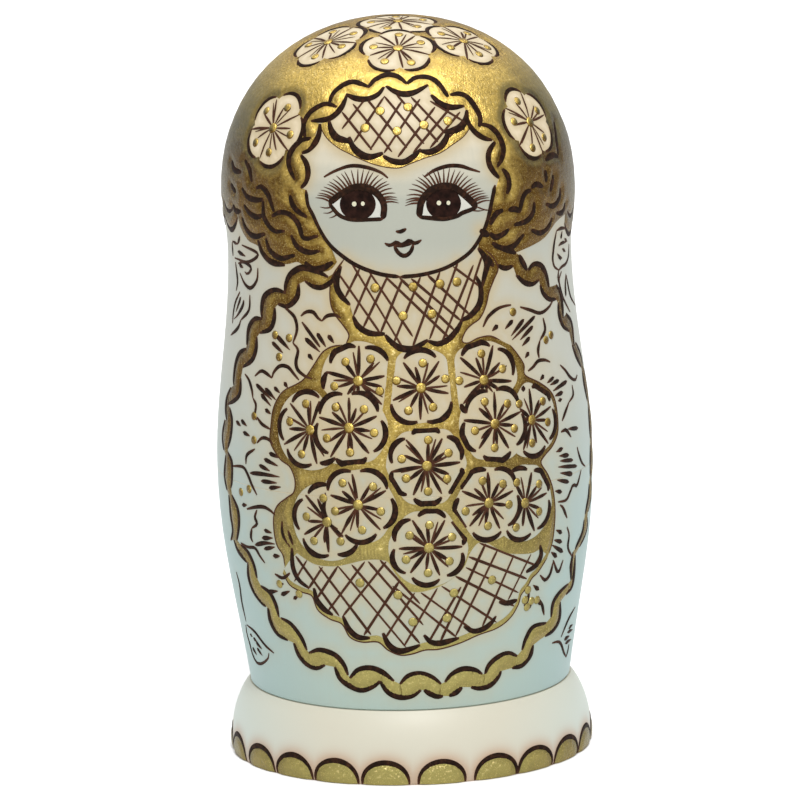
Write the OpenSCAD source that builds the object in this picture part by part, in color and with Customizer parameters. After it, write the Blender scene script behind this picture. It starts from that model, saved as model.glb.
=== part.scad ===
// Matryoshka: a set of ten turned wooden dolls, each standing inside the next larger one.
// Nine of them are hollow and part at the belly, where the top half slips over a lip on the bottom half.
// The smallest is solid, and the largest stands on a separate turned pedestal.
// Millimetres, +Z up. The origin is the centre of the pedestal's underside, and the face looks along -Y.

/* [Outer doll] */
// Height of the doll above the pedestal
body_h = 217; // [210:1:230]
// Diameter of the foot, where the doll stands on the pedestal
foot_d = 104.8; // [100:0.2:108]
// Diameter of the belly, the widest place, where the doll parts
belly_d = 122.6; // [120:0.2:130]
// Height of the belly above the foot
belly_h = 71.5; // [66:0.5:76]
// Diameter of the neck, under the headscarf
neck_d = 111.4; // [109:0.2:114]
// Height of the neck's narrowest place above the foot
neck_h = 142.5; // [136:0.5:148]
// Diameter of the head across the headscarf
head_d = 113.6; // [111:0.2:116]
// Height of the head's widest place above the foot
head_h = 161.5; // [156:0.5:168]

/* [Parting joint] */
// Height of the lip that the top half slips over
lip_h = 14; // [10:0.5:18]
// Thickness of the lip
lip_t = 3.6; // [3:0.1:4.2]
// Gap between the lip and its socket, on the radius
fit_gap = 0.1; // [0.06:0.02:0.2]
// Gap above the lip inside the socket
lip_end_gap = 0.8; // [0.4:0.1:2]
// Small bevel along both edges of the parting line
seam_bevel = 0.1; // [0.1:0.1:0.6]

/* [Hollow] */
// Thickness of the floor that the next doll stands on
floor_t = 6; // [4:0.5:9]
// Thickness of the wood over the top of the hollow
crown_t = 8; // [5:0.5:11]
// Gap round the next doll's belly, on the radius
play = 0.6; // [0.4:0.1:1]
// Gap round the next doll's head, on the radius
head_play = 1.2; // [0.8:0.1:2]

/* [Nest] */
// Part of a doll's belly diameter that the next smaller doll keeps
nest_share = 0.9; // [0.89:0.002:0.902]
// What each next doll loses in diameter besides, for the wall around it
nest_step = 4.6; // [4.4:0.1:5]

/* [Pedestal] */
// Height of the pedestal
pedestal_h = 23; // [18:0.5:30]
// Largest diameter of the pedestal
pedestal_d = 118; // [112:0.5:126]
// Diameter of the pedestal's top edge, round the doll's foot
pedestal_top_d = 105.6; // [105:0.2:110]
// Diameter of the tenon under the doll that is glued into the pedestal
tenon_d = 70; // [40:1:90]
// Length of the tenon
tenon_h = 9; // [5:0.5:12]

/* [Hidden] */
// Outline handles of the outer doll: how far the foot flares and rises, and how far the belly's roundness drops
foot_flare = 4;
foot_rise = 28.6;
belly_drop = 25.7;
foot_bevel = 0.5;
lip_bevel = 0.8;
// Roundness of the dome of the head: 2 is an ellipse, more is squarer
dome_power_share = 2.13;
// Outline handles of the pedestal
pedestal_round = 4;
pedestal_tuck = 0.8;
pedestal_rise = 8;
shoulder_drop = 4;
shoulder_run = 3.6;
tenon_gap = 0.1;
tenon_end_gap = 0.5;
// Film of lacquer under each doll that stands in another
seat_gap = 0.05;
// Steps along each curved stretch of an outline
foot_steps = 10;
waist_steps = 12;
scarf_steps = 5;
dome_steps = 18;
corner_steps = 4;
shoulder_steps = 8;

ordinals = ["outer", "second", "third", "fourth", "fifth", "sixth", "seventh", "eighth", "ninth"];
hollow_count = len(ordinals);
innermost = hollow_count;
$fn = 96;

bleached_wood = "#f0eade";
bare_wood = "#e6d3b1";
pedestal_wood = "#f1e8d8";

// Sizes of the doll with number k, where 0 is the outer one
function doll_d(k) = k == 0 ? belly_d : doll_d(k - 1) * nest_share - nest_step;
function doll_scale(k) = doll_d(k) / belly_d;
function belly_r(k) = doll_d(k) / 2;
function foot_r(k) = foot_d / 2 * doll_scale(k);
function neck_r(k) = neck_d / 2 * doll_scale(k);
function head_r(k) = head_d / 2 * doll_scale(k);
function belly_z(k) = belly_h * doll_scale(k);
function neck_z(k) = neck_h * doll_scale(k);
function head_z(k) = head_h * doll_scale(k);
function top_z(k) = body_h * doll_scale(k);

// Radius of doll k at height z between its belly and its neck
function waist_r(k, z) =
    let (t = min(1, max(0, (z - belly_z(k)) / (neck_z(k) - belly_z(k)))))
        belly_r(k) + (neck_r(k) - belly_r(k)) * (1 - cos(180 * t)) / 2;

// The wall of doll k gets thinner from doll to doll, and its hollow follows the doll that stands in it
function wall(k) = belly_r(k) - belly_r(k + 1) - play;
function thin(k) = wall(k) / wall(0);
function floor_z(k) = floor_t * thin(k);
function stand_z(k) = floor_z(k) + seat_gap;
function crown_z(k) = top_z(k) - crown_t * thin(k);
function lip_z(k) = belly_z(k) + lip_h * thin(k);
function socket_z(k) = lip_z(k) + lip_end_gap * thin(k);
function bore_r(k) = max(belly_r(k + 1), waist_r(k + 1, socket_z(k) - stand_z(k))) + play;
function lip_r(k) = bore_r(k) + lip_t * thin(k);
function bell_r(k) = head_r(k + 1) + head_play;
function bell_z(k) = stand_z(k) + neck_z(k + 1);
function seat_z(k) = k == 0 ? pedestal_h : seat_z(k - 1) + stand_z(k - 1);

// A point on a cubic curve from a to d, with b and c as its handles
function curve_point(a, b, c, d, t) =
    a * pow(1 - t, 3) + b * 3 * pow(1 - t, 2) * t + c * 3 * (1 - t) * pow(t, 2) + d * pow(t, 3);
function curve(a, b, c, d, steps) = [for (i = [0 : steps]) curve_point(a, b, c, d, i / steps)];

// A wave-like stretch from point a to point b that leaves both of them upright
function swell(a, b, steps) = [
    for (i = [0 : steps])
        let (t = i / steps, s = (1 - cos(180 * t)) / 2)
            [a.x + (b.x - a.x) * s, a.y + (b.y - a.y) * t]
];

// A dome from radius r at height z up to its top, without its first point
function dome(r, z, top, steps) = [
    for (i = [1 : steps])
        let (angle = 90 * i / steps, power = 2 / dome_power_share)
            [r * pow(cos(angle), power), z + (top - z) * pow(sin(angle), power)]
];

function reversed(points) = [for (i = [len(points) - 1 : -1 : 0]) points[i]];
function lifted(points, z) = [for (p = points) [p.x, p.y + z]];
function grown(points, gap) = [for (p = points) [p.x + gap, p.y]];
function without_first(points) = [for (i = [1 : len(points) - 1]) points[i]];

// Foot to belly of doll k
function lower_outline(k) = let (s = doll_scale(k)) curve(
    [foot_r(k), foot_bevel * s],
    [foot_r(k) + foot_flare * s, foot_rise * s],
    [belly_r(k), belly_z(k) - belly_drop * s],
    [belly_r(k), belly_z(k)],
    foot_steps
);

// Belly to the top of the head of doll k
function upper_outline(k) = concat(
    swell([belly_r(k), belly_z(k)], [neck_r(k), neck_z(k)], waist_steps),
    without_first(swell([neck_r(k), neck_z(k)], [head_r(k), head_z(k)], scarf_steps)),
    dome(head_r(k), head_z(k), top_z(k), dome_steps)
);

// The last point of the foot's outline and the first of the waist's are cut back by the seam's bevel
function lower_skin(k) = let (b = seam_bevel * thin(k), points = lower_outline(k)) concat(
    [for (i = [0 : len(points) - 2]) points[i]],
    [[belly_r(k), belly_z(k) - b], [belly_r(k) - b, belly_z(k)]]
);
function upper_skin(k) = let (b = seam_bevel * thin(k)) concat(
    [[belly_r(k) - b, belly_z(k)], [belly_r(k), belly_z(k) + b]],
    without_first(upper_outline(k))
);

// Hollow of a bottom half: the lower outline of the doll that stands in it, then straight up to the lip's edge
function cup_outline(k) = concat(
    [[0, floor_z(k)], [foot_r(k + 1) + play, floor_z(k)]],
    lifted(grown(lower_outline(k + 1), play), floor_z(k)),
    [[bore_r(k), lip_z(k)]]
);

// Hollow of a top half, from the end of the socket past the neck of the doll inside to the crown
function bell_outline(k) = concat(
    swell([bore_r(k), socket_z(k)], [bell_r(k), bell_z(k)], waist_steps),
    [[bell_r(k), head_z(k)]],
    dome(bell_r(k), head_z(k), crown_z(k), dome_steps)
);

// Centre of the underside: the outer doll has a tenon there
function underside(k) = k == 0
    ? [[0, -tenon_h], [tenon_d / 2, -tenon_h], [tenon_d / 2, 0], [foot_r(k) - foot_bevel, 0]]
    : [[0, 0], [foot_r(k) - foot_bevel * doll_scale(k), 0]];

module bottom_half(k) {
    bevel = lip_bevel * thin(k);
    color(bleached_wood)
        translate([0, 0, seat_z(k)])
            rotate_extrude()
                polygon(concat(
                    underside(k),
                    lower_skin(k),
                    [[lip_r(k), belly_z(k)], [lip_r(k), lip_z(k) - bevel], [lip_r(k) - bevel, lip_z(k)]],
                    reversed(cup_outline(k))
                ));
}

module top_half(k) {
    color(bleached_wood)
        translate([0, 0, seat_z(k)])
            rotate_extrude()
                polygon(concat(
                    upper_skin(k),
                    reversed(bell_outline(k)),
                    [[lip_r(k) + fit_gap, socket_z(k)], [lip_r(k) + fit_gap, belly_z(k)]]
                ));
}

module tenth_doll() {
    color(bare_wood)
        translate([0, 0, seat_z(innermost)])
            rotate_extrude()
                polygon(concat(
                    underside(innermost),
                    lower_outline(innermost),
                    without_first(upper_outline(innermost))
                ));
}

module pedestal() {
    edge_r = pedestal_d / 2;
    top_r = pedestal_top_d / 2;
    socket_r = tenon_d / 2 + tenon_gap;
    socket_floor = pedestal_h - tenon_h - tenon_end_gap;
    base_edge = curve(
        [edge_r - pedestal_tuck, 0],
        [edge_r - pedestal_tuck / 2, 0],
        [edge_r, pedestal_round / 2],
        [edge_r, pedestal_round],
        corner_steps
    );
    shoulder = curve(
        [edge_r, pedestal_round],
        [edge_r, pedestal_round + pedestal_rise],
        [top_r + shoulder_run, pedestal_h - shoulder_drop],
        [top_r, pedestal_h],
        shoulder_steps
    );
    color(pedestal_wood)
        rotate_extrude()
            polygon(concat(
                [[0, 0]],
                base_edge,
                without_first(shoulder),
                [[socket_r, pedestal_h], [socket_r, socket_floor], [0, socket_floor]]
            ));
}

pedestal();
for (k = [0 : hollow_count - 1]) {
    bottom_half(k);
    top_half(k);
}
tenth_doll();
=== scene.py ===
# %% [markdown]
# # A nesting doll in burnt line and gold
# The real doll is turned from bleached basswood, drawn on with a burning pen, brushed with gold paint and
# lacquered. It opens at the belly and holds nine smaller dolls. The turned pieces come with the frame, and
# this lesson gives them their finish: fine turned skins, thousands of burnt strokes, gold paint with a real
# thickness, and a face. Everything is in metres, and the doll looks along -Y.

import math

import bmesh
import bpy
import numpy as np
from mathutils import Matrix, Vector
from mathutils.bvhtree import BVHTree
from mathutils.geometry import delaunay_2d_cdt
from mathutils.kdtree import KDTree


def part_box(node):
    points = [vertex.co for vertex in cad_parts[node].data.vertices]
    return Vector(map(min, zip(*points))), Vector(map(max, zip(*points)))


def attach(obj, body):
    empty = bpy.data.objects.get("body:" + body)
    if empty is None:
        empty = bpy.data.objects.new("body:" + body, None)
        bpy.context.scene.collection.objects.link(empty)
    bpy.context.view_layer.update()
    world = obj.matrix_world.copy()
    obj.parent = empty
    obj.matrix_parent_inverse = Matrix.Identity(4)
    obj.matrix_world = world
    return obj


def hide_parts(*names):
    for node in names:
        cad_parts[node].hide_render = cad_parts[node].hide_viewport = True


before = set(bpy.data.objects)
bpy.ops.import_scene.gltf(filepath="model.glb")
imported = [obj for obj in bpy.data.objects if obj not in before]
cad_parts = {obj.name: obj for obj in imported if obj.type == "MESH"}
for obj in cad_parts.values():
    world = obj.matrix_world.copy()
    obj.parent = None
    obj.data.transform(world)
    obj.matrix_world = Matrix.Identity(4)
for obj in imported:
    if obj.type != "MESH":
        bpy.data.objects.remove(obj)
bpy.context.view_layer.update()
MM = 0.001
ORDINALS = ["outer", "second", "third", "fourth", "fifth", "sixth", "seventh", "eighth", "ninth"]
chance = np.random.default_rng(7)

# %% [markdown]
# ## The outlines
# A turned piece is one outline swung round an axis. The outline could be typed in again, but the frame
# already has it: when every ring of a piece is folded onto one half-plane and the doubles are merged, what
# is left of the mesh is a chain of points, the outline itself. A cubic between those points takes away the
# facets, and true corners, such as the edge of the lip, stay sharp.

# %% Read an outline off the frame
MERGE = 0.002 * MM
CORNER = math.cos(math.radians(24))
STRAIGHT = 0.99999


def meridian(node):
    """Outline of a turned node as (radius, height), from one end on the axis to the other."""
    folded = bmesh.new()
    folded.from_mesh(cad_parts[node].data)
    for v in folded.verts:
        v.co = (math.hypot(v.co.x, v.co.y), 0.0, v.co.z)
    bmesh.ops.remove_doubles(folded, verts=folded.verts, dist=MERGE)
    ends = [v for v in folded.verts if len(v.link_edges) == 1]
    first = max if "top" in node else min
    here, before, chain = first(ends, key=lambda v: v.co.z), None, []
    while here:
        chain.append((here.co.x, here.co.z))
        ways_on = [e.other_vert(here) for e in here.link_edges if e.other_vert(here) is not before]
        before, here = here, ways_on[0] if ways_on else None
    folded.free()
    if chain[0][0] > MERGE:
        chain.insert(0, (0.0, chain[0][1]))
    if chain[-1][0] > MERGE:
        chain.append((0.0, chain[-1][1]))
    return np.array(chain)


def refined(chain, step):
    """The outline with its round stretches cut into steps along a cubic."""
    legs = np.diff(chain, axis=0)
    lengths = np.linalg.norm(legs, axis=1)
    ways = legs / lengths[:, None]
    leaving, arriving = ways.copy(), ways.copy()
    for i in range(1, len(ways)):
        if ways[i - 1] @ ways[i] > CORNER:
            mean = ways[i - 1] * lengths[i] + ways[i] * lengths[i - 1]
            arriving[i - 1] = leaving[i] = mean / np.linalg.norm(mean)
    if chain[0][0] < MERGE:
        leaving[0] = (1, 0)
    if chain[-1][0] < MERGE:
        arriving[-1] = (-1, 0)
    points = [chain[0]]
    for a, b, length, out, into, way in zip(chain, chain[1:], lengths, leaving, arriving, ways):
        straight = out @ way > STRAIGHT and into @ way > STRAIGHT
        count = 1 if straight else max(2, math.ceil(length / step))
        for t in np.arange(1, count + 1) / count:
            ease = t * t * (3 - 2 * t)
            swing = t * (1 - t) * ((1 - t) * out - t * into) * length
            points.append(a + (b - a) * ease + swing)
    return np.array(points)


outlines = {node: meridian(node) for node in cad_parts}
print({node: len(chain) for node, chain in outlines.items()})

# %% [markdown]
# ## A map of the skin
# What is drawn on the doll has to lie on its skin, so every place on it gets two numbers: the angle round
# the axis, 0 at the face and growing towards +X, and the way down the outline from the crown. UV mapping
# would stretch at the crown. On this map lengths down the outline stay true, and a point lifted off the
# skin moves along the real normal.

# %% Map the outer doll and its pedestal
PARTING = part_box("outer_top_half")[0].z
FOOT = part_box("pedestal")[1].z
FINE = 1.5 * MM
HAIR = 0.001 * MM


class Skin:
    """A turned outside, measured by angle and by the way along its outline from the upper end."""

    def __init__(self, outline):
        self.line = np.array(outline)
        self.r, self.z = self.line.T
        self.s = np.concatenate([[0], np.cumsum(np.linalg.norm(np.diff(self.line, axis=0), axis=1))])
        way = np.gradient(self.line, self.s, axis=0)
        way /= np.linalg.norm(way, axis=1)[:, None]
        self.nr, self.nz = -way[:, 1], way[:, 0]

    def place(self, chart, height=0.0):
        """Points of the skin, lifted off it by a height."""
        theta, s = np.asarray(chart).T
        r = np.interp(s, self.s, self.r) + np.interp(s, self.s, self.nr) * height
        z = np.interp(s, self.s, self.z) + np.interp(s, self.s, self.nz) * height
        return np.column_stack([r * np.sin(theta), -r * np.cos(theta), z])

    def outward(self, chart):
        """Normals of the skin."""
        theta, s = np.asarray(chart).T
        r = np.interp(s, self.s, self.nr)
        return np.column_stack([r * np.sin(theta), -r * np.cos(theta), np.interp(s, self.s, self.nz)])

    def radius(self, s):
        """Radius of the skin some way down."""
        return np.interp(s, self.s, self.r)

    def chart(self, points):
        """Angle and way down of the places nearest to some points."""
        points = np.atleast_2d(points)
        flat = np.column_stack([np.hypot(points[:, 0], points[:, 1]), points[:, 2]])
        legs = np.diff(self.line, axis=0)
        off = flat[:, None] - self.line[:-1]
        t = np.clip((off * legs).sum(2) / (legs * legs).sum(1), 0, 1)
        nearest = np.linalg.norm(off - t[..., None] * legs, axis=2).argmin(1)
        rows = np.arange(len(flat))
        s = self.s[nearest] + t[rows, nearest] * np.diff(self.s)[nearest]
        return np.column_stack([np.arctan2(points[:, 0], -points[:, 1]), s])


def between(points, low, high):
    """The stretch of an outline with heights between two values, from the top down."""
    keep = [p for p in points if low < p[1] < high]
    return keep if keep[0][1] > keep[-1][1] else keep[::-1]


upper = refined(outlines["outer_top_half"], FINE)
upper = upper[: np.argmax(upper[:, 1] < PARTING + HAIR)]
lower = refined(outlines["outer_bottom_half"], FINE)
lower = lower[: np.argmax(lower[:, 1] > PARTING - HAIR)]
base = refined(outlines["pedestal"], FINE)
base = base[1 : np.argmax(base[:, 1] > FOOT - HAIR) + 1]
DOLL = Skin(np.vstack([upper, between(lower, FOOT + HAIR, PARTING)]))
PEDESTAL = Skin(base[::-1])
SEAM = float(np.interp(-PARTING, -DOLL.z, DOLL.s))
print(f"the skin is {DOLL.s[-1] / MM:.0f} mm from crown to foot, and parts {SEAM / MM:.0f} mm down")

# %% [markdown]
# ## The camera
# The photo was taken from about two metres, a little from above, with a long lens. The same camera does two
# jobs here: it takes the picture, and it carries what was traced on the photo over to the skin. A ray
# through a traced pixel meets the skin at the place where that line is drawn.

# %% Stand where the photographer stood
PICTURE = 800
FOCAL = 6136
TILT, ROLL = math.radians(10.79), math.radians(-1.449)
MIDDLE, MIDDLE_PIXEL = np.array((0, 0, 0.12)), (402.92, 383.16)
FAR = 2.0
PIXEL_STEP = 2.4
CURVE_CUTS = 12
# A pixel off the doll's edge moves towards its middle by these shares, until its ray meets the doll
DOLL_PIXEL, DRAW_IN, TRIES = (404, 380), (0.01, 0.003), 60


def show(name, data):
    """A new object in the scene."""
    thing = bpy.data.objects.new(name, data)
    bpy.context.scene.collection.objects.link(thing)
    return thing


ahead = np.array((0, math.cos(TILT), -math.sin(TILT)))
right = np.array((1.0, 0.0, 0.0))
up = np.cross(right, ahead)
across = right * math.cos(ROLL) + up * math.sin(ROLL)
upward = up * math.cos(ROLL) - right * math.sin(ROLL)
eye = MIDDLE - FAR * ahead
centre = PICTURE / 2
axis = ahead * FOCAL + across * (centre - MIDDLE_PIXEL[0]) - upward * (centre - MIDDLE_PIXEL[1])
axis /= np.linalg.norm(axis)
across = np.cross(axis, upward)
across /= np.linalg.norm(across)
upward = np.cross(across, axis)

camera = show("camera", bpy.data.cameras.new("camera"))
bpy.context.scene.camera = camera
turn = np.eye(4)
turn[:3, 0], turn[:3, 1], turn[:3, 2], turn[:3, 3] = across, upward, -axis, eye
camera.matrix_world = Matrix(turn.tolist())
camera.data.sensor_width = 36
camera.data.lens = FOCAL / PICTURE * camera.data.sensor_width
camera.data.clip_start, camera.data.clip_end = 0.05, 200


def sweep(skin, segments=240):
    """A plain search tree of a skin, for rays."""
    angles = np.arange(segments) / segments * math.tau
    rows = len(skin.s)
    grid = np.vstack([skin.place(np.column_stack([np.full(rows, a), skin.s])) for a in angles])
    quads = []
    for i in range(segments):
        here, there = i * rows, (i + 1) % segments * rows
        quads += [(here + j, here + j + 1, there + j + 1, there + j) for j in range(rows - 1)]
    return BVHTree.FromPolygons(grid.tolist(), quads)


doll_tree = sweep(DOLL)


def touch(pixel):
    """The place on the doll that a pixel of the photo shows; one just off its edge is drawn in to it."""
    x, y = pixel
    for _ in range(TRIES):
        way = axis * FOCAL + across * (x - centre) - upward * (y - centre)
        hit = doll_tree.ray_cast(Vector(eye), Vector(way))[0]
        if hit:
            return hit
        x, y = x + (DOLL_PIXEL[0] - x) * DRAW_IN[0], y + (DOLL_PIXEL[1] - y) * DRAW_IN[1]
    raise ValueError(f"pixel {pixel} is nowhere near the doll")


def spline(points, step):
    """Even steps along a smooth curve through some points."""
    p = np.asarray(points, float)
    if len(p) > 2:
        p = np.vstack([2 * p[0] - p[1], p, 2 * p[-1] - p[-2]])
        t = np.arange(CURVE_CUTS)[:, None] / CURVE_CUTS
        runs = []
        for a, b, c, d in zip(p, p[1:], p[2:], p[3:]):
            runs.append(b + t * (c - a) / 2 + t**2 * (a - 2.5 * b + 2 * c - d / 2)
                        + t**3 * (1.5 * (b - c) + (d - a) / 2))
        p = np.vstack([*runs, p[-2:-1]])
    way = np.concatenate([[0], np.cumsum(np.linalg.norm(np.diff(p, axis=0), axis=1))])
    count = max(3, round(way[-1] / step) + 1)
    even = np.linspace(0, way[-1], count)
    return np.column_stack([np.interp(even, way, column) for column in p.T])


def on_doll(pixels, step=PIXEL_STEP):
    """A smooth path through pixels of the photo, laid on the doll."""
    return DOLL.chart([touch(pixel) for pixel in spline(pixels, step)])


def joined(arcs):
    """Several paths through pixels, laid on the doll end to end."""
    return np.vstack([on_doll(arc) for arc in arcs])


front_flower = on_doll([(398, 21), (398, 48)])[-1]
print(f"the camera has a lens of {camera.data.lens:.0f} mm")
print(f"the front flower of the scarf is {front_flower[1] / MM:.0f} mm from the crown")

# %% [markdown]
# ## Three node trees
# Three things come again and again, so each has its rule written once, as a geometry node tree. "Turned
# wood" lays a grid of points and gives every point its radius and height from the outline, row by row.
# "Burnt line" draws a flat oval along each path, with the width that the path carries at every point. "Gold
# drops" sets a flattened ball on every point, square to the skin.

# %% Build the trees
class Tree:
    """A geometry node tree in the making."""

    def __init__(self, name, **inputs):
        self.group = bpy.data.node_groups.new(name, "GeometryNodeTree")
        self.group.interface.new_socket("Geometry", in_out="INPUT", socket_type="NodeSocketGeometry")
        for title, kind in inputs.items():
            self.group.interface.new_socket(title, in_out="INPUT", socket_type=kind)
        self.group.interface.new_socket("Geometry", in_out="OUTPUT", socket_type="NodeSocketGeometry")
        self.given = self.group.nodes.new("NodeGroupInput").outputs

    def add(self, kind, wires=None, **settings):
        """A node with its settings, and its inputs wired to outputs or set to values."""
        node = self.group.nodes.new(kind)
        for title, value in settings.items():
            setattr(node, title, value)
        for socket, value in (wires or {}).items():
            if isinstance(value, bpy.types.NodeSocket):
                self.group.links.new(value, node.inputs[socket])
            else:
                node.inputs[socket].default_value = value
        return node

    def sum(self, operation, *values):
        """One step of arithmetic."""
        return self.add("ShaderNodeMath", dict(enumerate(values)), operation=operation).outputs[0]

    def named(self, title, kind="FLOAT"):
        """A value that the points bring along."""
        node = self.add("GeometryNodeInputNamedAttribute", {"Name": title}, data_type=kind)
        return node.outputs["Attribute"]

    def sample(self, geometry, value, index, kind="FLOAT"):
        """What a value is at one point of a geometry."""
        wires = {"Geometry": geometry, "Value": value, "Index": index}
        return self.add("GeometryNodeSampleIndex", wires, data_type=kind).outputs["Value"]

    def end(self, geometry):
        """Shades the result smooth, makes it plain and gives it its finish."""
        smooth = self.add("GeometryNodeSetShadeSmooth", {"Geometry": geometry}).outputs["Geometry"]
        plain = self.add("GeometryNodeRealizeInstances", {"Geometry": smooth}).outputs["Geometry"]
        dressed = self.add("GeometryNodeSetMaterial", {"Geometry": plain, "Material": self.given["Finish"]})
        self.add("NodeGroupOutput", {"Geometry": dressed.outputs["Geometry"]})
        return self.group


def turned_wood():
    """Swings an outline round the axis."""
    tree = Tree("turned wood", Segments="NodeSocketInt", Finish="NodeSocketMaterial")
    outline, segments = tree.given["Geometry"], tree.given["Segments"]
    rows = tree.add("GeometryNodeAttributeDomainSize", {"Geometry": outline}).outputs["Point Count"]
    columns = tree.sum("ADD", segments, 1)
    grid = tree.add("GeometryNodeMeshGrid", {"Vertices X": columns, "Vertices Y": rows})
    index = tree.add("GeometryNodeInputIndex").outputs["Index"]
    column = tree.sum("FLOOR", tree.sum("DIVIDE", tree.sum("ADD", index, 0.5), rows))
    row = tree.sum("SUBTRACT", index, tree.sum("MULTIPLY", column, rows))
    angle = tree.sum("MULTIPLY", tree.sum("DIVIDE", column, segments), math.tau)
    here = tree.add("GeometryNodeInputPosition").outputs["Position"]
    point = tree.sample(outline, here, row, "FLOAT_VECTOR")
    split = tree.add("ShaderNodeSeparateXYZ", {"Vector": point})
    radius, height = split.outputs["X"], split.outputs["Z"]
    spot = tree.add("ShaderNodeCombineXYZ", {
        "X": tree.sum("MULTIPLY", radius, tree.sum("SINE", angle)),
        "Y": tree.sum("MULTIPLY", radius, tree.sum("MULTIPLY", tree.sum("COSINE", angle), -1)),
        "Z": height,
    }).outputs["Vector"]
    swung = tree.add("GeometryNodeSetPosition", {"Geometry": grid.outputs["Mesh"], "Position": spot})
    bare = tree.sample(outline, tree.named("bare"), row)
    marks = {"Geometry": swung.outputs["Geometry"], "Name": "bare", "Value": bare}
    marked = tree.add("GeometryNodeStoreNamedAttribute", marks, data_type="FLOAT", domain="POINT")
    merge = {"Geometry": marked.outputs["Geometry"], "Distance": HAIR}
    return tree.end(tree.add("GeometryNodeMergeByDistance", merge).outputs["Geometry"])


def burnt_line():
    """Draws a flat oval along each path."""
    tree = Tree("burnt line", Sides="NodeSocketInt", Flatness="NodeSocketFloat", Finish="NodeSocketMaterial")
    paths = tree.add("GeometryNodeMeshToCurve", {"Mesh": tree.given["Geometry"]}).outputs["Curve"]
    lean = tree.named("lean", "FLOAT_VECTOR")
    upright = tree.add("GeometryNodeSetCurveNormal", {"Curve": paths, "Normal": lean}, mode="FREE")
    circle = tree.add("GeometryNodeCurvePrimitiveCircle", {"Resolution": tree.given["Sides"], "Radius": 1.0})
    scale = tree.add("ShaderNodeCombineXYZ", {"X": tree.given["Flatness"], "Y": 1.0, "Z": 1.0})
    shape = {"Geometry": circle.outputs["Curve"], "Scale": scale.outputs["Vector"]}
    oval = tree.add("GeometryNodeTransform", shape).outputs["Geometry"]
    drawn = tree.add("GeometryNodeCurveToMesh", {
        "Curve": upright.outputs["Curve"],
        "Profile Curve": oval,
        "Scale": tree.named("half"),
        "Fill Caps": True,
    })
    return tree.end(drawn.outputs["Mesh"])


def gold_drops():
    """Sets a flattened ball on each point."""
    tree = Tree("gold drops", Finish="NodeSocketMaterial")
    lean = tree.named("lean", "FLOAT_VECTOR")
    leaning = tree.add("FunctionNodeAlignRotationToVector", {"Vector": lean}, axis="Z")
    ball = tree.add("GeometryNodeMeshUVSphere", {"Segments": 14, "Rings": 8, "Radius": 1.0})
    drop = tree.add("GeometryNodeTransform", {"Geometry": ball.outputs["Mesh"], "Scale": (1.0, 1.0, 0.3)})
    spread = tree.add("GeometryNodeInstanceOnPoints", {
        "Points": tree.given["Geometry"],
        "Instance": drop.outputs["Geometry"],
        "Rotation": leaning.outputs["Rotation"],
        "Scale": tree.named("half"),
    })
    plain = tree.add("GeometryNodeRealizeInstances", {"Geometry": spread.outputs["Instances"]})
    return tree.end(plain.outputs["Geometry"])


def store(mesh, title, values, kind="FLOAT"):
    """Gives every point of a mesh a value."""
    field = {"FLOAT": "value", "FLOAT_VECTOR": "vector"}[kind]
    mesh.attributes.new(title, kind, "POINT").data.foreach_set(field, np.ravel(values))


def corners(mesh):
    """The points of a mesh, a row each."""
    points = np.empty(len(mesh.vertices) * 3)
    mesh.vertices.foreach_get("co", points)
    return points.reshape(-1, 3)


def grow(name, group, mesh, **values):
    """The mesh that a tree makes from another mesh, as a new object."""
    seed = show(name + " seed", mesh)
    modifier = seed.modifiers.new("tree", "NODES")
    modifier.node_group = group
    for item in group.interface.items_tree:
        if item.in_out == "INPUT" and item.name in values:
            modifier[item.identifier] = values[item.name]
    grown = seed.evaluated_get(bpy.context.evaluated_depsgraph_get())
    made = bpy.data.meshes.new_from_object(grown)
    made.name = name
    bpy.data.objects.remove(seed)
    bpy.data.meshes.remove(mesh)
    return show(name, made)


def face_out(piece):
    """Turns the faces of a closed piece outwards."""
    shell = bmesh.new()
    shell.from_mesh(piece.data)
    bmesh.ops.recalc_face_normals(shell, faces=shell.faces)
    shell.to_mesh(piece.data)
    shell.free()


trees = {"turned": turned_wood(), "burnt": burnt_line(), "drops": gold_drops()}
print({name: len(group.nodes) for name, group in trees.items()})
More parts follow.
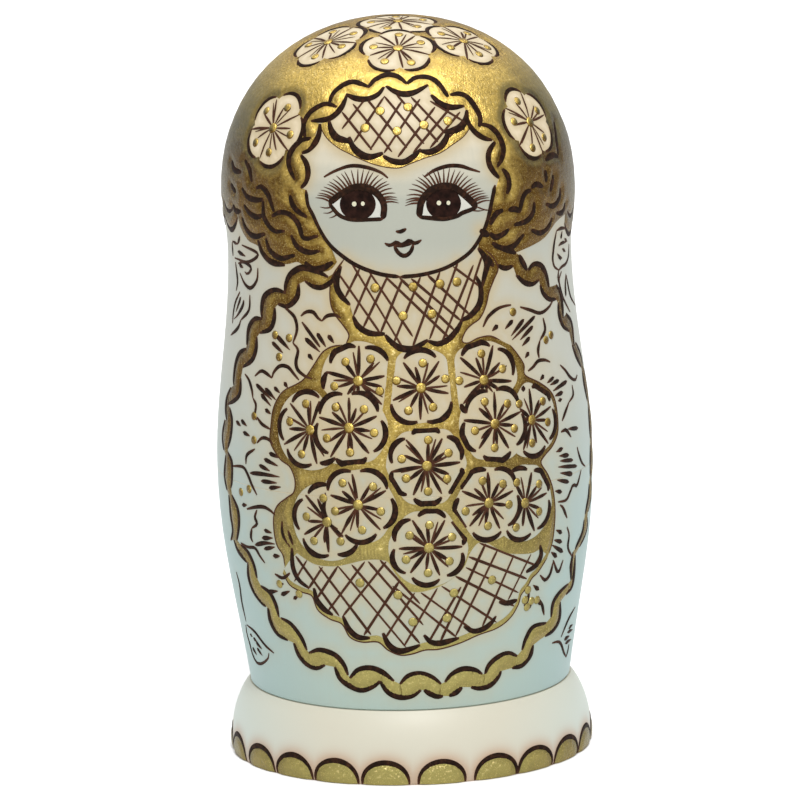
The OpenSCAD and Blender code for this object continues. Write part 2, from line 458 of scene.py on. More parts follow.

# %% [markdown]
# ## Materials
# Bleached basswood is pale and slightly green-grey, with a fine upright grain. Its tone is cool towards the
# foot and creamy under the scarf. A painted rim light turns it pale blue-green at the sides, and painted
# light from above makes it palest where it faces up; the petals of the scarf take that palest tone too. It
# is warmer wherever the pen has heated it: the skins carry that warmth as an attribute called scorch. The
# hollows are bare wood with the rings of the turning tool. The gold is a brushed metallic paint, olive low
# on the dress, with painted light and shade in its colour: brighter on the head and where it faces up or
# to the front, bronze where it looks sideways or down, dull green on the sides of the head, and darker in
# the grooves beside the lines, which the sheets carry as an attribute called crest. Painted glints fleck
# it where it is brightest. All of it is made from noise, normals and object coordinates, so it needs no
# pictures and stays with the piece.

# %% Mix the finishes
class Shader:
    """A material in the making, with a few short ways to add nodes."""

    def __init__(self, name):
        self.material = bpy.data.materials.new(name)
        self.material.use_nodes = True
        self.nodes, self.links = self.material.node_tree.nodes, self.material.node_tree.links
        self.surface = self.nodes["Principled BSDF"]
        self.place = self.nodes.new("ShaderNodeTexCoord").outputs["Object"]

    def wire(self, value, socket):
        """Links a value that is an output, or sets it."""
        if isinstance(value, bpy.types.NodeSocket):
            self.links.new(value, socket)
        else:
            socket.default_value = value

    def noise(self, scale, detail, stretch=(1, 1, 1)):
        """Noise on object coordinates."""
        mapped = self.nodes.new("ShaderNodeMapping")
        mapped.inputs["Scale"].default_value = stretch
        self.links.new(self.place, mapped.inputs["Vector"])
        noise = self.nodes.new("ShaderNodeTexNoise")
        noise.inputs["Scale"].default_value = scale
        noise.inputs["Detail"].default_value = detail
        self.links.new(mapped.outputs["Vector"], noise.inputs["Vector"])
        return noise.outputs["Fac"]

    def ramp(self, value, low, high, to_low=0.0, to_high=1.0):
        """A value brought from one range to another, and held at its ends."""
        node = self.nodes.new("ShaderNodeMapRange")
        for socket, given in zip(node.inputs, (value, low, high, to_low, to_high)):
            self.wire(given, socket)
        return node.outputs["Result"]

    def split(self, vector):
        """The X, Y and Z of a vector."""
        node = self.nodes.new("ShaderNodeSeparateXYZ")
        self.links.new(vector, node.inputs["Vector"])
        return node.outputs

    def facing(self):
        """The X, Y and Z of the way a surface looks."""
        return self.split(self.nodes.new("ShaderNodeNewGeometry").outputs["Normal"])

    def sum(self, operation, a, b=0.0):
        """One step of arithmetic."""
        node = self.nodes.new("ShaderNodeMath")
        node.operation = operation
        self.wire(a, node.inputs[0])
        self.wire(b, node.inputs[1])
        return node.outputs[0]

    def times(self, a, b):
        return self.sum("MULTIPLY", a, b)

    def mix(self, amount, a, b):
        """A colour between two colours."""
        node = self.nodes.new("ShaderNodeMix")
        node.data_type = "RGBA"
        self.wire(amount, node.inputs["Factor"])
        for socket, colour in zip([s for s in node.inputs if s.type == "RGBA"], (a, b)):
            self.wire(colour if isinstance(colour, bpy.types.NodeSocket) else (*colour, 1.0), socket)
        return next(s for s in node.outputs if s.type == "RGBA")

    def attribute(self, name):
        node = self.nodes.new("ShaderNodeAttribute")
        node.attribute_name = name
        return node.outputs["Fac"]

    def bump(self, height, strength, distance):
        node = self.nodes.new("ShaderNodeBump")
        node.inputs["Strength"].default_value = strength
        node.inputs["Distance"].default_value = distance
        self.links.new(height, node.inputs["Height"])
        self.links.new(node.outputs["Normal"], self.surface.inputs["Normal"])

    def set(self, **values):
        """Sets inputs of the surface, with _ for each space in their names, and hands over the material."""
        for name, value in values.items():
            self.wire(value, self.surface.inputs[name.replace("_", " ")])
        return self.material


def bleached_wood(name, pale, cool, shoulder, crown, edge, rim, deep, warm, shine):
    """Lacquered wood with a tone for each part of the doll, and bare wood where the skin says so."""
    s = Shader(name)
    grain = s.noise(900, 3, (1, 1, 0.04))
    cloud = s.noise(22, 2)
    facing = s.facing()
    height = s.split(s.place)["Z"]
    # Tones by height; painted light from above makes upward faces palest, and the scarf's petals take that
    # tone
    wood = s.mix(s.ramp(height, 0.12, 0.03), pale, cool)
    wood = s.mix(s.times(s.ramp(height, 0.1, 0.125), s.ramp(height, 0.175, 0.16)), wood, shoulder)
    wood = s.mix(s.sum("MAXIMUM", s.ramp(facing["Z"], 0.05, 0.63), s.attribute("petal")), wood, crown)
    wood = s.mix(s.ramp(grain, 0.45, 0.8, 0.0, 0.2), wood, deep)
    wood = s.mix(s.ramp(cloud, 0.4, 0.75, 0.0, 0.2), wood, deep)
    # Warmth of the pen, then a painted rim light on the sides of the body, then the burnt edge of the
    # scallops
    wood = s.mix(s.times(s.attribute("scorch"), s.ramp(height, 0.03, 0.085, 0.35, 1.0)), wood, warm)
    side = s.ramp(s.sum("POWER", s.sum("ABSOLUTE", facing["X"]), 2.0), 0.2, 1.0)
    rim_light_tone = s.mix(s.ramp(height, 0.07, 0.13), edge, rim)
    wood = s.mix(s.times(side, s.ramp(height, 0.19, 0.16)), wood, rim_light_tone)
    wood = s.mix(s.attribute("ember"), wood, (0.34, 0.13, 0.03))
    # Bare wood with the rings of the turning tool
    rings = s.noise(420, 2, (0.02, 0.02, 1))
    raw = s.mix(s.ramp(rings, 0.3, 0.7), (0.72, 0.55, 0.34), (0.60, 0.43, 0.25))
    raw = s.mix(s.ramp(grain, 0.45, 0.7, 0.0, 0.5), raw, (0.52, 0.36, 0.20))
    bare = s.attribute("bare")
    s.bump(s.sum("ADD", s.times(rings, bare), s.times(grain, 0.3)), 0.15, 0.0001)
    return s.set(Base_Color=s.mix(bare, wood, raw), Roughness=s.ramp(bare, 0, 1, 0.5, 0.75),
                 Coat_Weight=s.ramp(bare, 0, 1, shine, 0.0), Coat_Roughness=0.3)


def gold_paint():
    """Brushed metal: its tone, bronze to gold, is mostly painted light and shade, and its colour follows it.
    """
    s = Shader("gold paint")
    facing = s.facing()
    height = s.split(s.place)["Z"]
    head = s.ramp(height, 0.17, 0.2)
    aside = s.sum("ABSOLUTE", facing["X"])
    # Painted light: light and the tone rise where the gold faces up and, below the crown, where it faces the
    # front
    front = s.sum("POWER", s.sum("MAXIMUM", s.times(facing["Y"], -1.0), 0.0), 4.0)
    painted_front_light = s.times(s.ramp(height, 0.245, 0.19, 0.3, 1.0), s.sum("SQRT", front))
    light = s.sum("ADD", facing["Z"], s.times(painted_front_light, s.ramp(front, 0, 1, 0.42, 0.72)))
    flake = s.noise(2600, 2)
    brush = s.noise(700, 4)
    coats = s.noise(75, 3)
    tone = s.sum("ADD", s.ramp(light, 0.2, 1.02), s.ramp(brush, 0.3, 0.7, -0.1, 0.1))
    tone = s.sum("ADD", tone, s.ramp(coats, 0.3, 0.7, -0.16, 0.12))
    # Painted shade in the hair beside the face, in the grooves and on the very top; painted light on the
    # crests
    hair_shade = s.times(s.ramp(aside, 0.4, 0.65), s.ramp(facing["Z"], 0.5, 0.25))
    tone = s.sum("SUBTRACT", tone, s.times(s.times(hair_shade, head), 0.2))
    groove_shade_and_crest_light = s.ramp(s.attribute("crest"), -1, 1, s.ramp(head, 0, 1, -0.26, -0.06), 0.08)
    tone = s.sum("MAXIMUM", s.sum("ADD", tone, groove_shade_and_crest_light), 0.0)
    tone = s.times(tone, s.ramp(facing["Z"], 0.72, 0.95, 1.0, 0.15))
    # Painted highlight: the lit gold is brighter on the head
    lit_gold = s.mix(head, (0.62, 0.455, 0.115), (0.82, 0.585, 0.155))
    colour = s.mix(tone, (0.11, 0.058, 0.010), lit_gold)
    # Painted shade where the gold turns dark at the sides, and olive low on the dress
    colour = s.mix(s.ramp(aside, 0.87, 1.0), colour, (0.085, 0.078, 0.045))
    low = s.times(s.ramp(height, 0.115, 0.055), s.sum("POWER", front, 0.25))
    colour = s.mix(s.times(low, s.ramp(tone, 0.0, 0.4, 0.85, 0.9)), colour, (0.335, 0.30, 0.105))
    # Flakes, and painted glints where the tone is high, fewer on the head; a painted dull green reflection on
    # its sides
    flakes = s.ramp(flake, 0.58, 0.7, 0.0, s.ramp(head, 0, 1, 0.5, 0.3))
    colour = s.mix(flakes, colour, (0.74, 0.58, 0.22))
    painted_glints = s.ramp(s.noise(1000, 2), 0.57, 0.7, 0.0, s.ramp(head, 0, 1, 0.65, 0.4))
    colour = s.mix(s.times(painted_glints, s.ramp(tone, 0.25, 0.65)), colour, (0.95, 0.78, 0.36))
    temple = s.times(s.ramp(aside, 0.55, 0.8, 0.0, 0.55), s.ramp(facing["Z"], 0.2, 0.4))
    colour = s.mix(s.times(temple, head), colour, (0.09, 0.115, 0.08))
    s.bump(s.sum("ADD", s.times(flake, 0.6), s.sum("ADD", brush, coats)), 0.6, 0.0006)
    return s.set(Base_Color=colour, Metallic=1.0, Roughness=s.ramp(flake, 0.3, 0.7, 0.32, 0.5))


def burnt():
    """Char, browner where the line is thin."""
    s = Shader("burnt line")
    char = s.noise(700, 3)
    thin = s.ramp(s.attribute("half"), 0.00062, 0.00036)
    colour = s.mix(s.ramp(char, 0.45, 0.8), (0.012, 0.0055, 0.003), (0.045, 0.017, 0.008))
    colour = s.mix(thin, colour, (0.060, 0.023, 0.012))
    s.bump(char, 0.3, 0.0001)
    return s.set(Base_Color=colour, Roughness=0.6, Specular_IOR_Level=0.06)


def plain_paint(name, low, high, gloss):
    """A paint of one colour, a little uneven."""
    s = Shader(name)
    colour = s.mix(s.ramp(s.noise(500, 3), 0.35, 0.7), low, high)
    return s.set(Base_Color=colour, Roughness=0.45, Specular_IOR_Level=gloss)


# The pedestal's second cream is a painted rim light on its sides
CREAM, CREAM_RIM_LIGHT = (0.495, 0.475, 0.385), (0.46, 0.52, 0.475)
# For each wood, crown is painted light on upward faces, and edge and rim are a painted rim light on the sides
finishes = {
    "doll": bleached_wood(
        "bleached basswood", pale=(0.31, 0.318, 0.265), cool=(0.31, 0.40, 0.355),
        shoulder=(0.385, 0.365, 0.29), crown=(0.72, 0.62, 0.46), edge=(0.255, 0.375, 0.365),
        rim=(0.37, 0.39, 0.345), deep=(0.33, 0.34, 0.28), warm=(0.385, 0.302, 0.16), shine=0.08),
    "pedestal": bleached_wood(
        "pedestal wood", pale=CREAM, cool=CREAM, shoulder=CREAM, crown=CREAM, edge=CREAM_RIM_LIGHT,
        rim=CREAM_RIM_LIGHT, deep=(0.495, 0.46, 0.37), warm=(0.50, 0.40, 0.25), shine=0.02),
    "gold": gold_paint(),
    "burnt": burnt(),
    "iris": plain_paint("iris", (0.008, 0.004, 0.003), (0.024, 0.010, 0.007), 0.03),
    "white": plain_paint("eye white", (0.44, 0.44, 0.39), (0.47, 0.47, 0.42), 0.3),
    "light": plain_paint("eye light", (0.50, 0.48, 0.35), (0.54, 0.52, 0.39), 0.3),
}
print(list(finishes))

# %% [markdown]
# ## The pen and the brush
# A burning pen leaves a line that swells and thins with the speed of the hand. Each stroke is kept as a
# path on the skin with a half width at every point. A rank says how fine it is, so that the smaller dolls
# can leave the finest strokes out, as a painter does. Gold is kept as closed loops: the paint lies inside
# any gold loop and outside every loop of bare wood.

# %% Hold the tools
strokes, drops, gold_loops, wood_loops = [], [], [], []
MAIN, MIDDLING, FINEST = 0, 1, 2
# Of a flower: the width of a petal's edge and the radii of its drops, then the lean, reach, width and rank
# of the rays in a petal
PETAL_LINE, HEART_DROP, PETAL_DROP = 1.9, 1.75, 1.45
PETAL_RAYS = [(1.0, 0.86, 1.3, MAIN), (0.1, 0.6, 1.25, MIDDLING), (-0.45, 0.72, 0.8, FINEST)]


def breadth(count, taper):
    """Relative width along a stroke, a little unsteady."""
    t = np.linspace(0, 1, count)
    ends = np.minimum(1, np.sqrt(np.minimum(t, 1 - t) * count / 2.2 + 0.12))
    shape = {
        "even": ends,
        "both": 0.38 + 0.62 * np.sin(math.pi * t) ** 0.7,
        "tail": np.minimum(ends + 0.2, 1.0) * (0.16 + 0.84 * (1 - t) ** 0.75),
        "drop": np.sin(math.pi * np.clip(t, 0, 1) ** 0.55) ** 0.8 * 0.85 + 0.15,
    }[taper]
    return shape * (1 + 0.07 * np.interp(t, np.linspace(0, 1, 5), chance.normal(size=5)))


def burn(path, width, taper="both", rank=MAIN, skin=DOLL):
    """Draws one stroke; its width is in millimetres."""
    strokes.append((skin, path, breadth(len(path), taper) * width / 2 * MM, rank))


def draw(paths, width, taper="both", rank=MAIN):
    """Draws a stroke through each list of pixels."""
    for path in paths:
        burn(on_doll(path), width, taper, rank)


def dab(chart, radius, rank=MAIN):
    """Sets down a drop of gold; its radius is in millimetres."""
    drops.append((np.asarray(chart), radius * MM, rank))


def flat(chart):
    """The map spread out round the crown, as if the skin were pressed flat."""
    theta, s = np.asarray(chart).T
    return np.column_stack([s * np.sin(theta), -s * np.cos(theta)])


def unflat(points):
    """From flat points back to the map."""
    return np.column_stack([np.arctan2(points[:, 0], -points[:, 1]), np.hypot(points[:, 0], points[:, 1])])


def within(points, loop):
    """Which flat points lie inside a closed flat loop."""
    inside = np.zeros(len(points), bool)
    near = np.all((points >= loop.min(0)) & (points <= loop.max(0)), axis=1)
    (ax, ay), (bx, by) = loop.T, np.roll(loop, -1, axis=0).T
    rise = np.where(by == ay, 1.0, by - ay)
    for some in np.array_split(np.flatnonzero(near), near.sum() // 4000 + 1):
        x, y = points[some, :1], points[some, 1:]
        crosses = (ay > y) != (by > y)
        inside[some] = (crosses & (x < ax + (y - ay) / rise * (bx - ax))).sum(1) % 2 == 1
    return inside


def outside_runs(path, loops):
    """The stretches of a path that no loop covers."""
    covered = np.zeros(len(path), bool)
    for loop in loops:
        covered |= within(flat(path), flat(loop))
    runs, run = [], []
    for point, hidden in zip(path, covered):
        if hidden and len(run) > 2:
            runs.append(np.array(run))
        run = [] if hidden else [*run, point]
    return runs + ([np.array(run)] if len(run) > 2 else [])


def around(place, offsets):
    """Flat offsets to the right and up from a place, bent onto the skin."""
    place = np.asarray(place)[None]
    out = DOLL.outward(place)[0]
    aside = np.array((math.cos(place[0, 0]), math.sin(place[0, 0]), 0.0))
    above = np.cross(out, aside)
    offsets = np.asarray(offsets)
    return DOLL.chart(DOLL.place(place) + offsets[:, :1] * aside + offsets[:, 1:] * above)


def ring(radius, start, end, count):
    """Offsets on an arc, or on a spiral if the radius is a list."""
    angles = np.linspace(start, end, count)
    return np.column_stack([np.cos(angles), np.sin(angles)]) * np.reshape(radius, (-1, 1))


in_front = []


def rosette(place, radius, turn, petals=5, cell=None, bold=1.0):
    """A flower of round petals, drawn where no earlier one covers it, and inside its cell if it has one."""
    half, big, outline, lines = math.pi / petals, radius * MM, [], []
    for i in range(petals):
        middle = math.radians(turn) + 2 * half * i
        uneven = 0.9 + 0.2 * chance.random(3)
        t = np.linspace(-1, 1, 19)
        edge = ring(big * (0.8 + 0.2 * np.cos(t * math.pi / 2) ** 0.75), middle - half, middle + half, 19)
        outline.append(edge[:-1])
        lines.append((edge[2:-2], PETAL_LINE * bold**0.5, "both", MAIN))
        for lean, reach, width, rank in PETAL_RAYS:
            way = middle + (lean + 0.16 * chance.normal()) * half
            ray = ring(np.linspace(0.1, reach * uneven[0], 9) * big, way, way + 0.06 * half, 9)
            lines.append((ray, width * uneven[1] * bold, "both", rank))
    outline = around(place, np.vstack(outline))
    for shape, width, taper, rank in lines:
        path = around(place, shape)
        for run in outside_runs(path, in_front):
            if cell is not None:
                run = run[within(flat(run), flat(cell))]
            if len(run) > 2:
                burn(run, width, taper, rank)
    ways = math.radians(turn) + 2 * half * (np.arange(petals) + 0.08 * chance.normal(size=petals))
    spots = np.vstack([[(0.0, 0.0)], *[ring((0.6 + 0.1 * chance.random()) * big, a, a, 1) for a in ways]])
    for n, spot in enumerate(around(place, spots)):
        if not any(within(flat(spot[None]), flat(loop))[0] for loop in in_front):
            dab(spot, *((HEART_DROP, MAIN) if n == 0 else (PETAL_DROP, MIDDLING)))
    in_front.append(outline)
    wood_loops.append(outline if cell is None else cell)


def pixel_place(pixel):
    """The place on the map that a pixel of the photo shows."""
    return DOLL.chart(touch(pixel))[0]


print("pen and brush are ready")

# %% [markdown]
# ## The headscarf
# Gold with wood-coloured flowers, and a ribbon of overlapping scallops round the face. The ribbon's two
# edges were traced arc by arc on the photo. Behind, where the photo shows nothing, the flowers and the
# scalloped hem go on in the same rhythm.

# %% Draw the headscarf
SCARF_FLOWERS = [
    ((398, 48), 12.3, 90), ((328, 42), 12.8, 60), ((464, 41), 12.6, 40), ((398, 21), 13.2, 90),
    ((273, 128), 13.1, 70), ((530, 122), 12.5, 30),
]
SCARF_BOLD, BACK_FLOWER = 0.65, 11
for pixel, radius, twist in SCARF_FLOWERS:
    rosette(pixel_place(pixel), radius, twist, bold=SCARF_BOLD)
side, temple = pixel_place((464, 41))[1], pixel_place((530, 122))[1]
nape = temple * 1.12
for degrees, s in ((148, side), (-148, side), (102, temple), (-104, temple), (154, nape), (-154, nape)):
    rosette((math.radians(degrees), s), BACK_FLOWER, 90 + degrees, bold=SCARF_BOLD)
scarf_flowers = list(wood_loops)

RIBBON_OUTER = [
    [(290, 195), (293, 205), (299, 212), (307, 217)],
    [(311, 138), (301, 141), (293, 149), (289, 158), (290, 169), (295, 180)],
    [(305, 137), (304, 125), (309, 114), (318, 107), (327, 104), (337, 107)],
    [(329, 104), (333, 94), (342, 86), (352, 82), (361, 84), (368, 87)],
    [(368, 88), (375, 80), (387, 75), (398, 77), (407, 84)],
    [(407, 84), (415, 78), (425, 77), (434, 80), (441, 87), (448, 97)],
    [(450, 95), (460, 94), (469, 99), (476, 109), (480, 118), (479, 127)],
    [(480, 124), (490, 127), (498, 135), (503, 147), (502, 158), (497, 167)],
    [(502, 169), (507, 175), (509, 185), (507, 194)],
]
RIBBON_INNER = [
    [(301, 188), (306, 182), (308, 173), (306, 163), (301, 155)],
    [(302, 153), (309, 150), (315, 143), (319, 134), (320, 124)],
    [(311, 121), (322, 120), (332, 117), (341, 108), (347, 95)],
    [(346, 94), (355, 98), (366, 99), (377, 95), (384, 87)],
    [(386, 86), (394, 91), (404, 94), (415, 92), (428, 85)],
    [(431, 95), (440, 103), (450, 107), (464, 106)],
    [(466, 112), (468, 122), (475, 132), (484, 138), (492, 140)],
    [(495, 142), (489, 152), (489, 163), (493, 171), (499, 178)],
]
FACE_EDGE = [
    (306, 190), (308, 205), (313, 215), (320, 230), (330, 245), (345, 258), (360, 267), (380, 274),
    (400, 277), (420, 275), (440, 270), (455, 263), (470, 252), (480, 238), (487, 222), (491, 205),
    (495, 185),
]
HEM_LEFT = [
    (237, 208), (240, 225), (248, 240), (258, 246), (264, 256), (275, 263), (288, 264), (298, 262),
    (306, 268), (318, 272), (330, 270), (337, 262),
]
HEM_RIGHT = [
    (478, 246), (488, 254), (498, 257), (507, 256), (515, 253), (522, 250), (533, 245), (545, 237),
    (556, 222), (565, 214),
]
BRAIDS = [
    [(242, 188), (248, 197), (257, 200), (263, 199)],
    [(256, 188), (262, 187), (268, 194), (272, 205), (274, 212)],
    [(244, 205), (250, 213), (257, 217), (263, 215)], [(242, 217), (246, 228), (254, 236), (265, 234)],
    [(263, 200), (264, 215), (268, 224), (275, 231), (285, 231)],
    [(272, 216), (282, 212), (292, 216), (299, 225), (304, 238), (318, 236)],
    [(266, 238), (270, 250), (281, 258), (295, 255)], [(291, 235), (297, 246), (308, 252), (320, 251)],
    [(305, 262), (312, 268), (322, 268), (333, 262)], [(258, 240), (263, 253), (272, 262), (285, 265)],
    [(232, 161), (235, 170), (241, 172)], [(245, 160), (250, 170), (252, 182)], [(231, 184), (236, 192)],
    [(233, 205), (236, 211), (241, 211)], [(520, 212), (521, 203), (525, 193), (531, 190)],
    [(531, 188), (536, 184), (543, 187)], [(545, 170), (546, 182)], [(550, 192), (552, 182), (553, 175)],
    [(560, 188), (559, 198), (553, 206), (546, 204)], [(534, 202), (533, 212), (526, 221), (514, 225)],
    [(508, 210), (515, 209), (520, 212)], [(490, 225), (496, 214), (503, 210)],
    [(490, 233), (495, 237), (503, 234), (509, 229)], [(492, 243), (502, 248), (513, 246), (524, 234)],
    [(531, 230), (540, 233), (548, 227), (552, 218)], [(556, 213), (562, 212), (565, 203)],
    [(480, 230), (489, 236)], [(545, 160), (553, 155), (558, 157)], [(554, 122), (556, 140), (558, 155)],
]
draw(RIBBON_OUTER, 2.5)
draw(RIBBON_INNER, 2.2)
draw(BRAIDS, 2.4)

hem_left, hem_right = on_doll(HEM_LEFT), on_doll(HEM_RIGHT)
face_left, face_right = on_doll(FACE_EDGE[4::-1]), on_doll(FACE_EDGE[:12:-1])
ribbon = joined(RIBBON_INNER)
HEM_SCALLOPS, HEM_POINTS, HEM_STEP = 13, 180, 0.004
theta = np.linspace(hem_right[-1][0], hem_left[0][0] + math.tau, HEM_POINTS + 1)
share = np.linspace(0, 1, HEM_POINTS + 1)
scallop = np.abs(np.sin(share * math.pi * HEM_SCALLOPS))
hem_s = hem_right[-1][1] * (1 - share) + hem_left[0][1] * share
hem_back = np.column_stack([theta, hem_s + (3 + 5 * scallop**0.8) * MM])
gold_loops.append(np.vstack([hem_left, face_left, ribbon, face_right[::-1], hem_right, hem_back]))
for n in range(HEM_SCALLOPS):
    first, last = round(n * HEM_POINTS / HEM_SCALLOPS), round((n + 1) * HEM_POINTS / HEM_SCALLOPS)
    edge = hem_back[first : last + 1]
    burn(spline(edge, HEM_STEP), 1.8)
    burn(spline(edge[2:-2] - (0, 6 * MM), HEM_STEP), 1.6)
print(f"{len(strokes)} strokes on the headscarf")

# %% [markdown]
# ## The face
# The eyes carry the doll. Each is a pale opening, a dark iris with two lights in it, a heavy upper lid and
# a fan of lashes. A lash starts on the lid's curve and leaves it at a right angle, so the fan is worked out
# from the curve. The headband over the forehead is a lattice with gold between its scallops and the skin.

# %% Draw the face and the headband
eye_parts = {"white": [], "iris": [], "light": []}
face_start = len(strokes)


def pixel_oval(x, y, across_px, up_px, count=28):
    """An oval on the photo, laid on the doll."""
    angles = np.linspace(0, math.tau, count, endpoint=False)
    return DOLL.chart([touch((x + across_px * math.cos(a), y + up_px * math.sin(a))) for a in angles])


def lashes(lid, count, shortest, longest, sway):
    """A fan of lashes along a lid, longest in the middle, with lengths in pixels; sway spreads their tips."""
    curve = spline(lid, 1.0)
    for n in range(count):
        t = (n + 0.5) / count
        i = min(int(t * (len(curve) - 1)), len(curve) - 2)
        along = (curve[i + 1] - curve[i]) / np.linalg.norm(curve[i + 1] - curve[i])
        away = np.array((along[1], -along[0]))
        away = away * np.sign(-away[1] if abs(away[1]) > 0.05 else 1)
        swell = (longest - shortest) * math.sin(math.pi * t) ** 0.7
        reach = shortest + swell * (0.9 + 0.2 * chance.random())
        bend = along * sway * (t - 0.5) * reach
        halfway, tip = curve[i] + away * reach * 0.55 + bend * 0.4, curve[i] + away * reach + bend
        burn(on_doll([curve[i], halfway, tip]), 0.74, "tail", FINEST)


LIDS = [
    ([(329, 203), (341, 194), (352, 188), (362, 187), (372, 190), (380, 197), (384, 206), (383, 219)],
     [(383, 219), (372, 219.5), (355, 220), (345, 218), (338, 214), (332, 207), (329, 203)]),
    ([(419, 217), (421, 203), (426, 195), (433, 189), (443, 186), (453, 187), (462, 193), (470, 200),
      (477, 207)],
     [(477, 207), (470, 210), (462, 213), (457, 216), (445, 219), (430, 218), (419, 217)]),
]
IRISES = [(357.8, 204.3, 18.0, 16.2), (443.5, 203.5, 17.5, 16.2)]
LIGHTS = [
    [(354.3, 203.9, 2.3, 2.5), (362.9, 203.6, 1.9, 2.2)],
    [(438.8, 202.9, 2.3, 2.4), (448.3, 202.8, 1.9, 2.2)],
]
LASH_LINES = [
    ([(329, 202), (340, 193), (350, 187), (358, 185), (368, 187), (378, 194), (385, 204)], 25),
    ([(419, 204), (424, 194), (431, 188), (441, 184), (451, 185), (461, 190), (470, 198), (478, 205)], 27),
]
CORNER_LASHES = [
    [(332, 207), (326, 208), (320, 207)], [(334, 210), (329, 213), (323, 213)],
    [(338, 214), (333, 217), (329, 218)], [(470, 210), (478, 211), (485, 210)],
    [(477, 207), (486, 210), (495, 209)],
]
BROWS = [
    [(324, 177), (335, 171), (350, 166), (365, 167), (380, 172), (388, 178)],
    [(480, 172), (470, 169), (460, 166), (448, 166), (435, 170), (424, 177)],
]
NOSE = [(395.8, 231.2), (399.5, 231.8), (403.5, 230.4), (406.2, 228.6)]
UPPER_LIP = [
    (384.8, 243), (388.5, 245.2), (392.5, 244.5), (396.2, 242), (401, 244.6), (405.5, 242.8),
    (409.3, 240.4), (413.5, 243), (417.5, 242.4), (421.5, 239.8),
]
LOWER_LIP = [
    (394, 245), (396.8, 250.8), (400.6, 254.6), (404.4, 255.8), (408.3, 254.2), (411.6, 250), (413.3, 244),
]
MOUTH = [(393.5, 245.2), (401, 245.8), (407, 244.4), (412.5, 243.2)]
for (lid, under), iris, lights in zip(LIDS, IRISES, LIGHTS):
    eye_parts["white"].append(np.vstack([on_doll(lid, 2)[:-1], on_doll(under, 2)[:-1]]))
    eye_parts["iris"].append(pixel_oval(*iris))
    eye_parts["light"] += [pixel_oval(*light, 12) for light in lights]
    burn(on_doll(lid, 1.6), 2.1, "even")
    burn(on_doll(under, 1.6), 1.3, "even", MIDDLING)
for lid, count in LASH_LINES:
    lashes(lid, count, shortest=11.5, longest=16.5, sway=1.5)
draw(CORNER_LASHES, 0.6, "tail", MIDDLING)
draw(BROWS, 1.3)
draw([NOSE], 1.35)
draw([UPPER_LIP, LOWER_LIP, MOUTH], 1.25, "even")
draw([FACE_EDGE[:9], FACE_EDGE[8:]], 1.35, "even")
face_end = len(strokes)

BAND_ARCS = [
    [(329, 121), (331, 130), (337, 138), (347, 141), (352, 143)],
    [(349, 137), (353, 147), (362, 155), (372, 157), (383, 153)],
    [(383, 156), (392, 161), (404, 162), (414, 156), (421, 149)],
    [(419, 151), (430, 152), (440, 147), (446, 139), (448, 131)],
    [(443, 132), (452, 131), (461, 127), (466, 118), (467, 110)],
]
BAND_EDGE = [
    (319, 124), (326, 137), (337, 147), (350, 154), (365, 161), (380, 166), (398, 168), (412, 163),
    (425, 158), (440, 153), (452, 145), (463, 137), (470, 128),
]
BAND_LATTICE = [
    [(342, 112), (372, 150)], [(353, 104), (392, 152)], [(366, 98), (407, 148)], [(384, 96), (424, 144)],
    [(396, 94), (438, 142)], [(411, 97), (446, 134)], [(430, 101), (463, 121)], [(366, 98), (342, 129)],
    [(384, 97), (354, 142)], [(402, 101), (370, 150)], [(420, 99), (384, 153)], [(435, 107), (398, 157)],
    [(450, 108), (413, 153)], [(460, 112), (430, 148)], [(465, 120), (441, 146)],
]
BAND_DOTS = [(380, 111), (365, 128), (408, 107), (397, 131), (424, 125), (448, 121)]
draw(BAND_ARCS, 2.3)
draw(BAND_LATTICE, 0.8, "even", MIDDLING)
draw([BAND_EDGE], 0.3, "even", MIDDLING)
gold_loops.append(np.vstack([joined(BAND_ARCS), on_doll(BAND_EDGE)[::-1]]))
LATTICE_DROP = 1.55
for pixel in BAND_DOTS:
    dab(pixel_place(pixel), LATTICE_DROP, MIDDLING)
print(f"{len(strokes)} strokes with the face")

# %% [markdown]
# ## The dress
# The front of the dress is a panel of overlapping flowers in a gold web, with a lattice collar above and a
# lattice hem below. A scalloped gold ribbon runs round the panel like the edge of an apron, and leaf sprays
# fill the wood between. The flowers in front come first, so that the ones behind are drawn only where they
# show.

# %% Draw the panel of flowers
FLOWERS = [
    ((349, 428), 12.2, 58, 5), ((495, 424), 12.1, 55, 5), ((358, 505), 12.3, 57, 5),
    ((489, 503), 12.1, 50, 5), ((358, 381), 12.1, 50, 5), ((421, 388), 12.1, 90, 5),
    ((484, 380), 12.3, 30, 5), ((310, 430), 12.3, 102, 5), ((532, 420), 11.7, 55, 5),
    ((427, 466), 12.6, 90, 6), ((327, 522), 12.3, 26, 5), ((525, 503), 12.1, 40, 5),
    ((429, 548), 12.5, 84, 6),
]

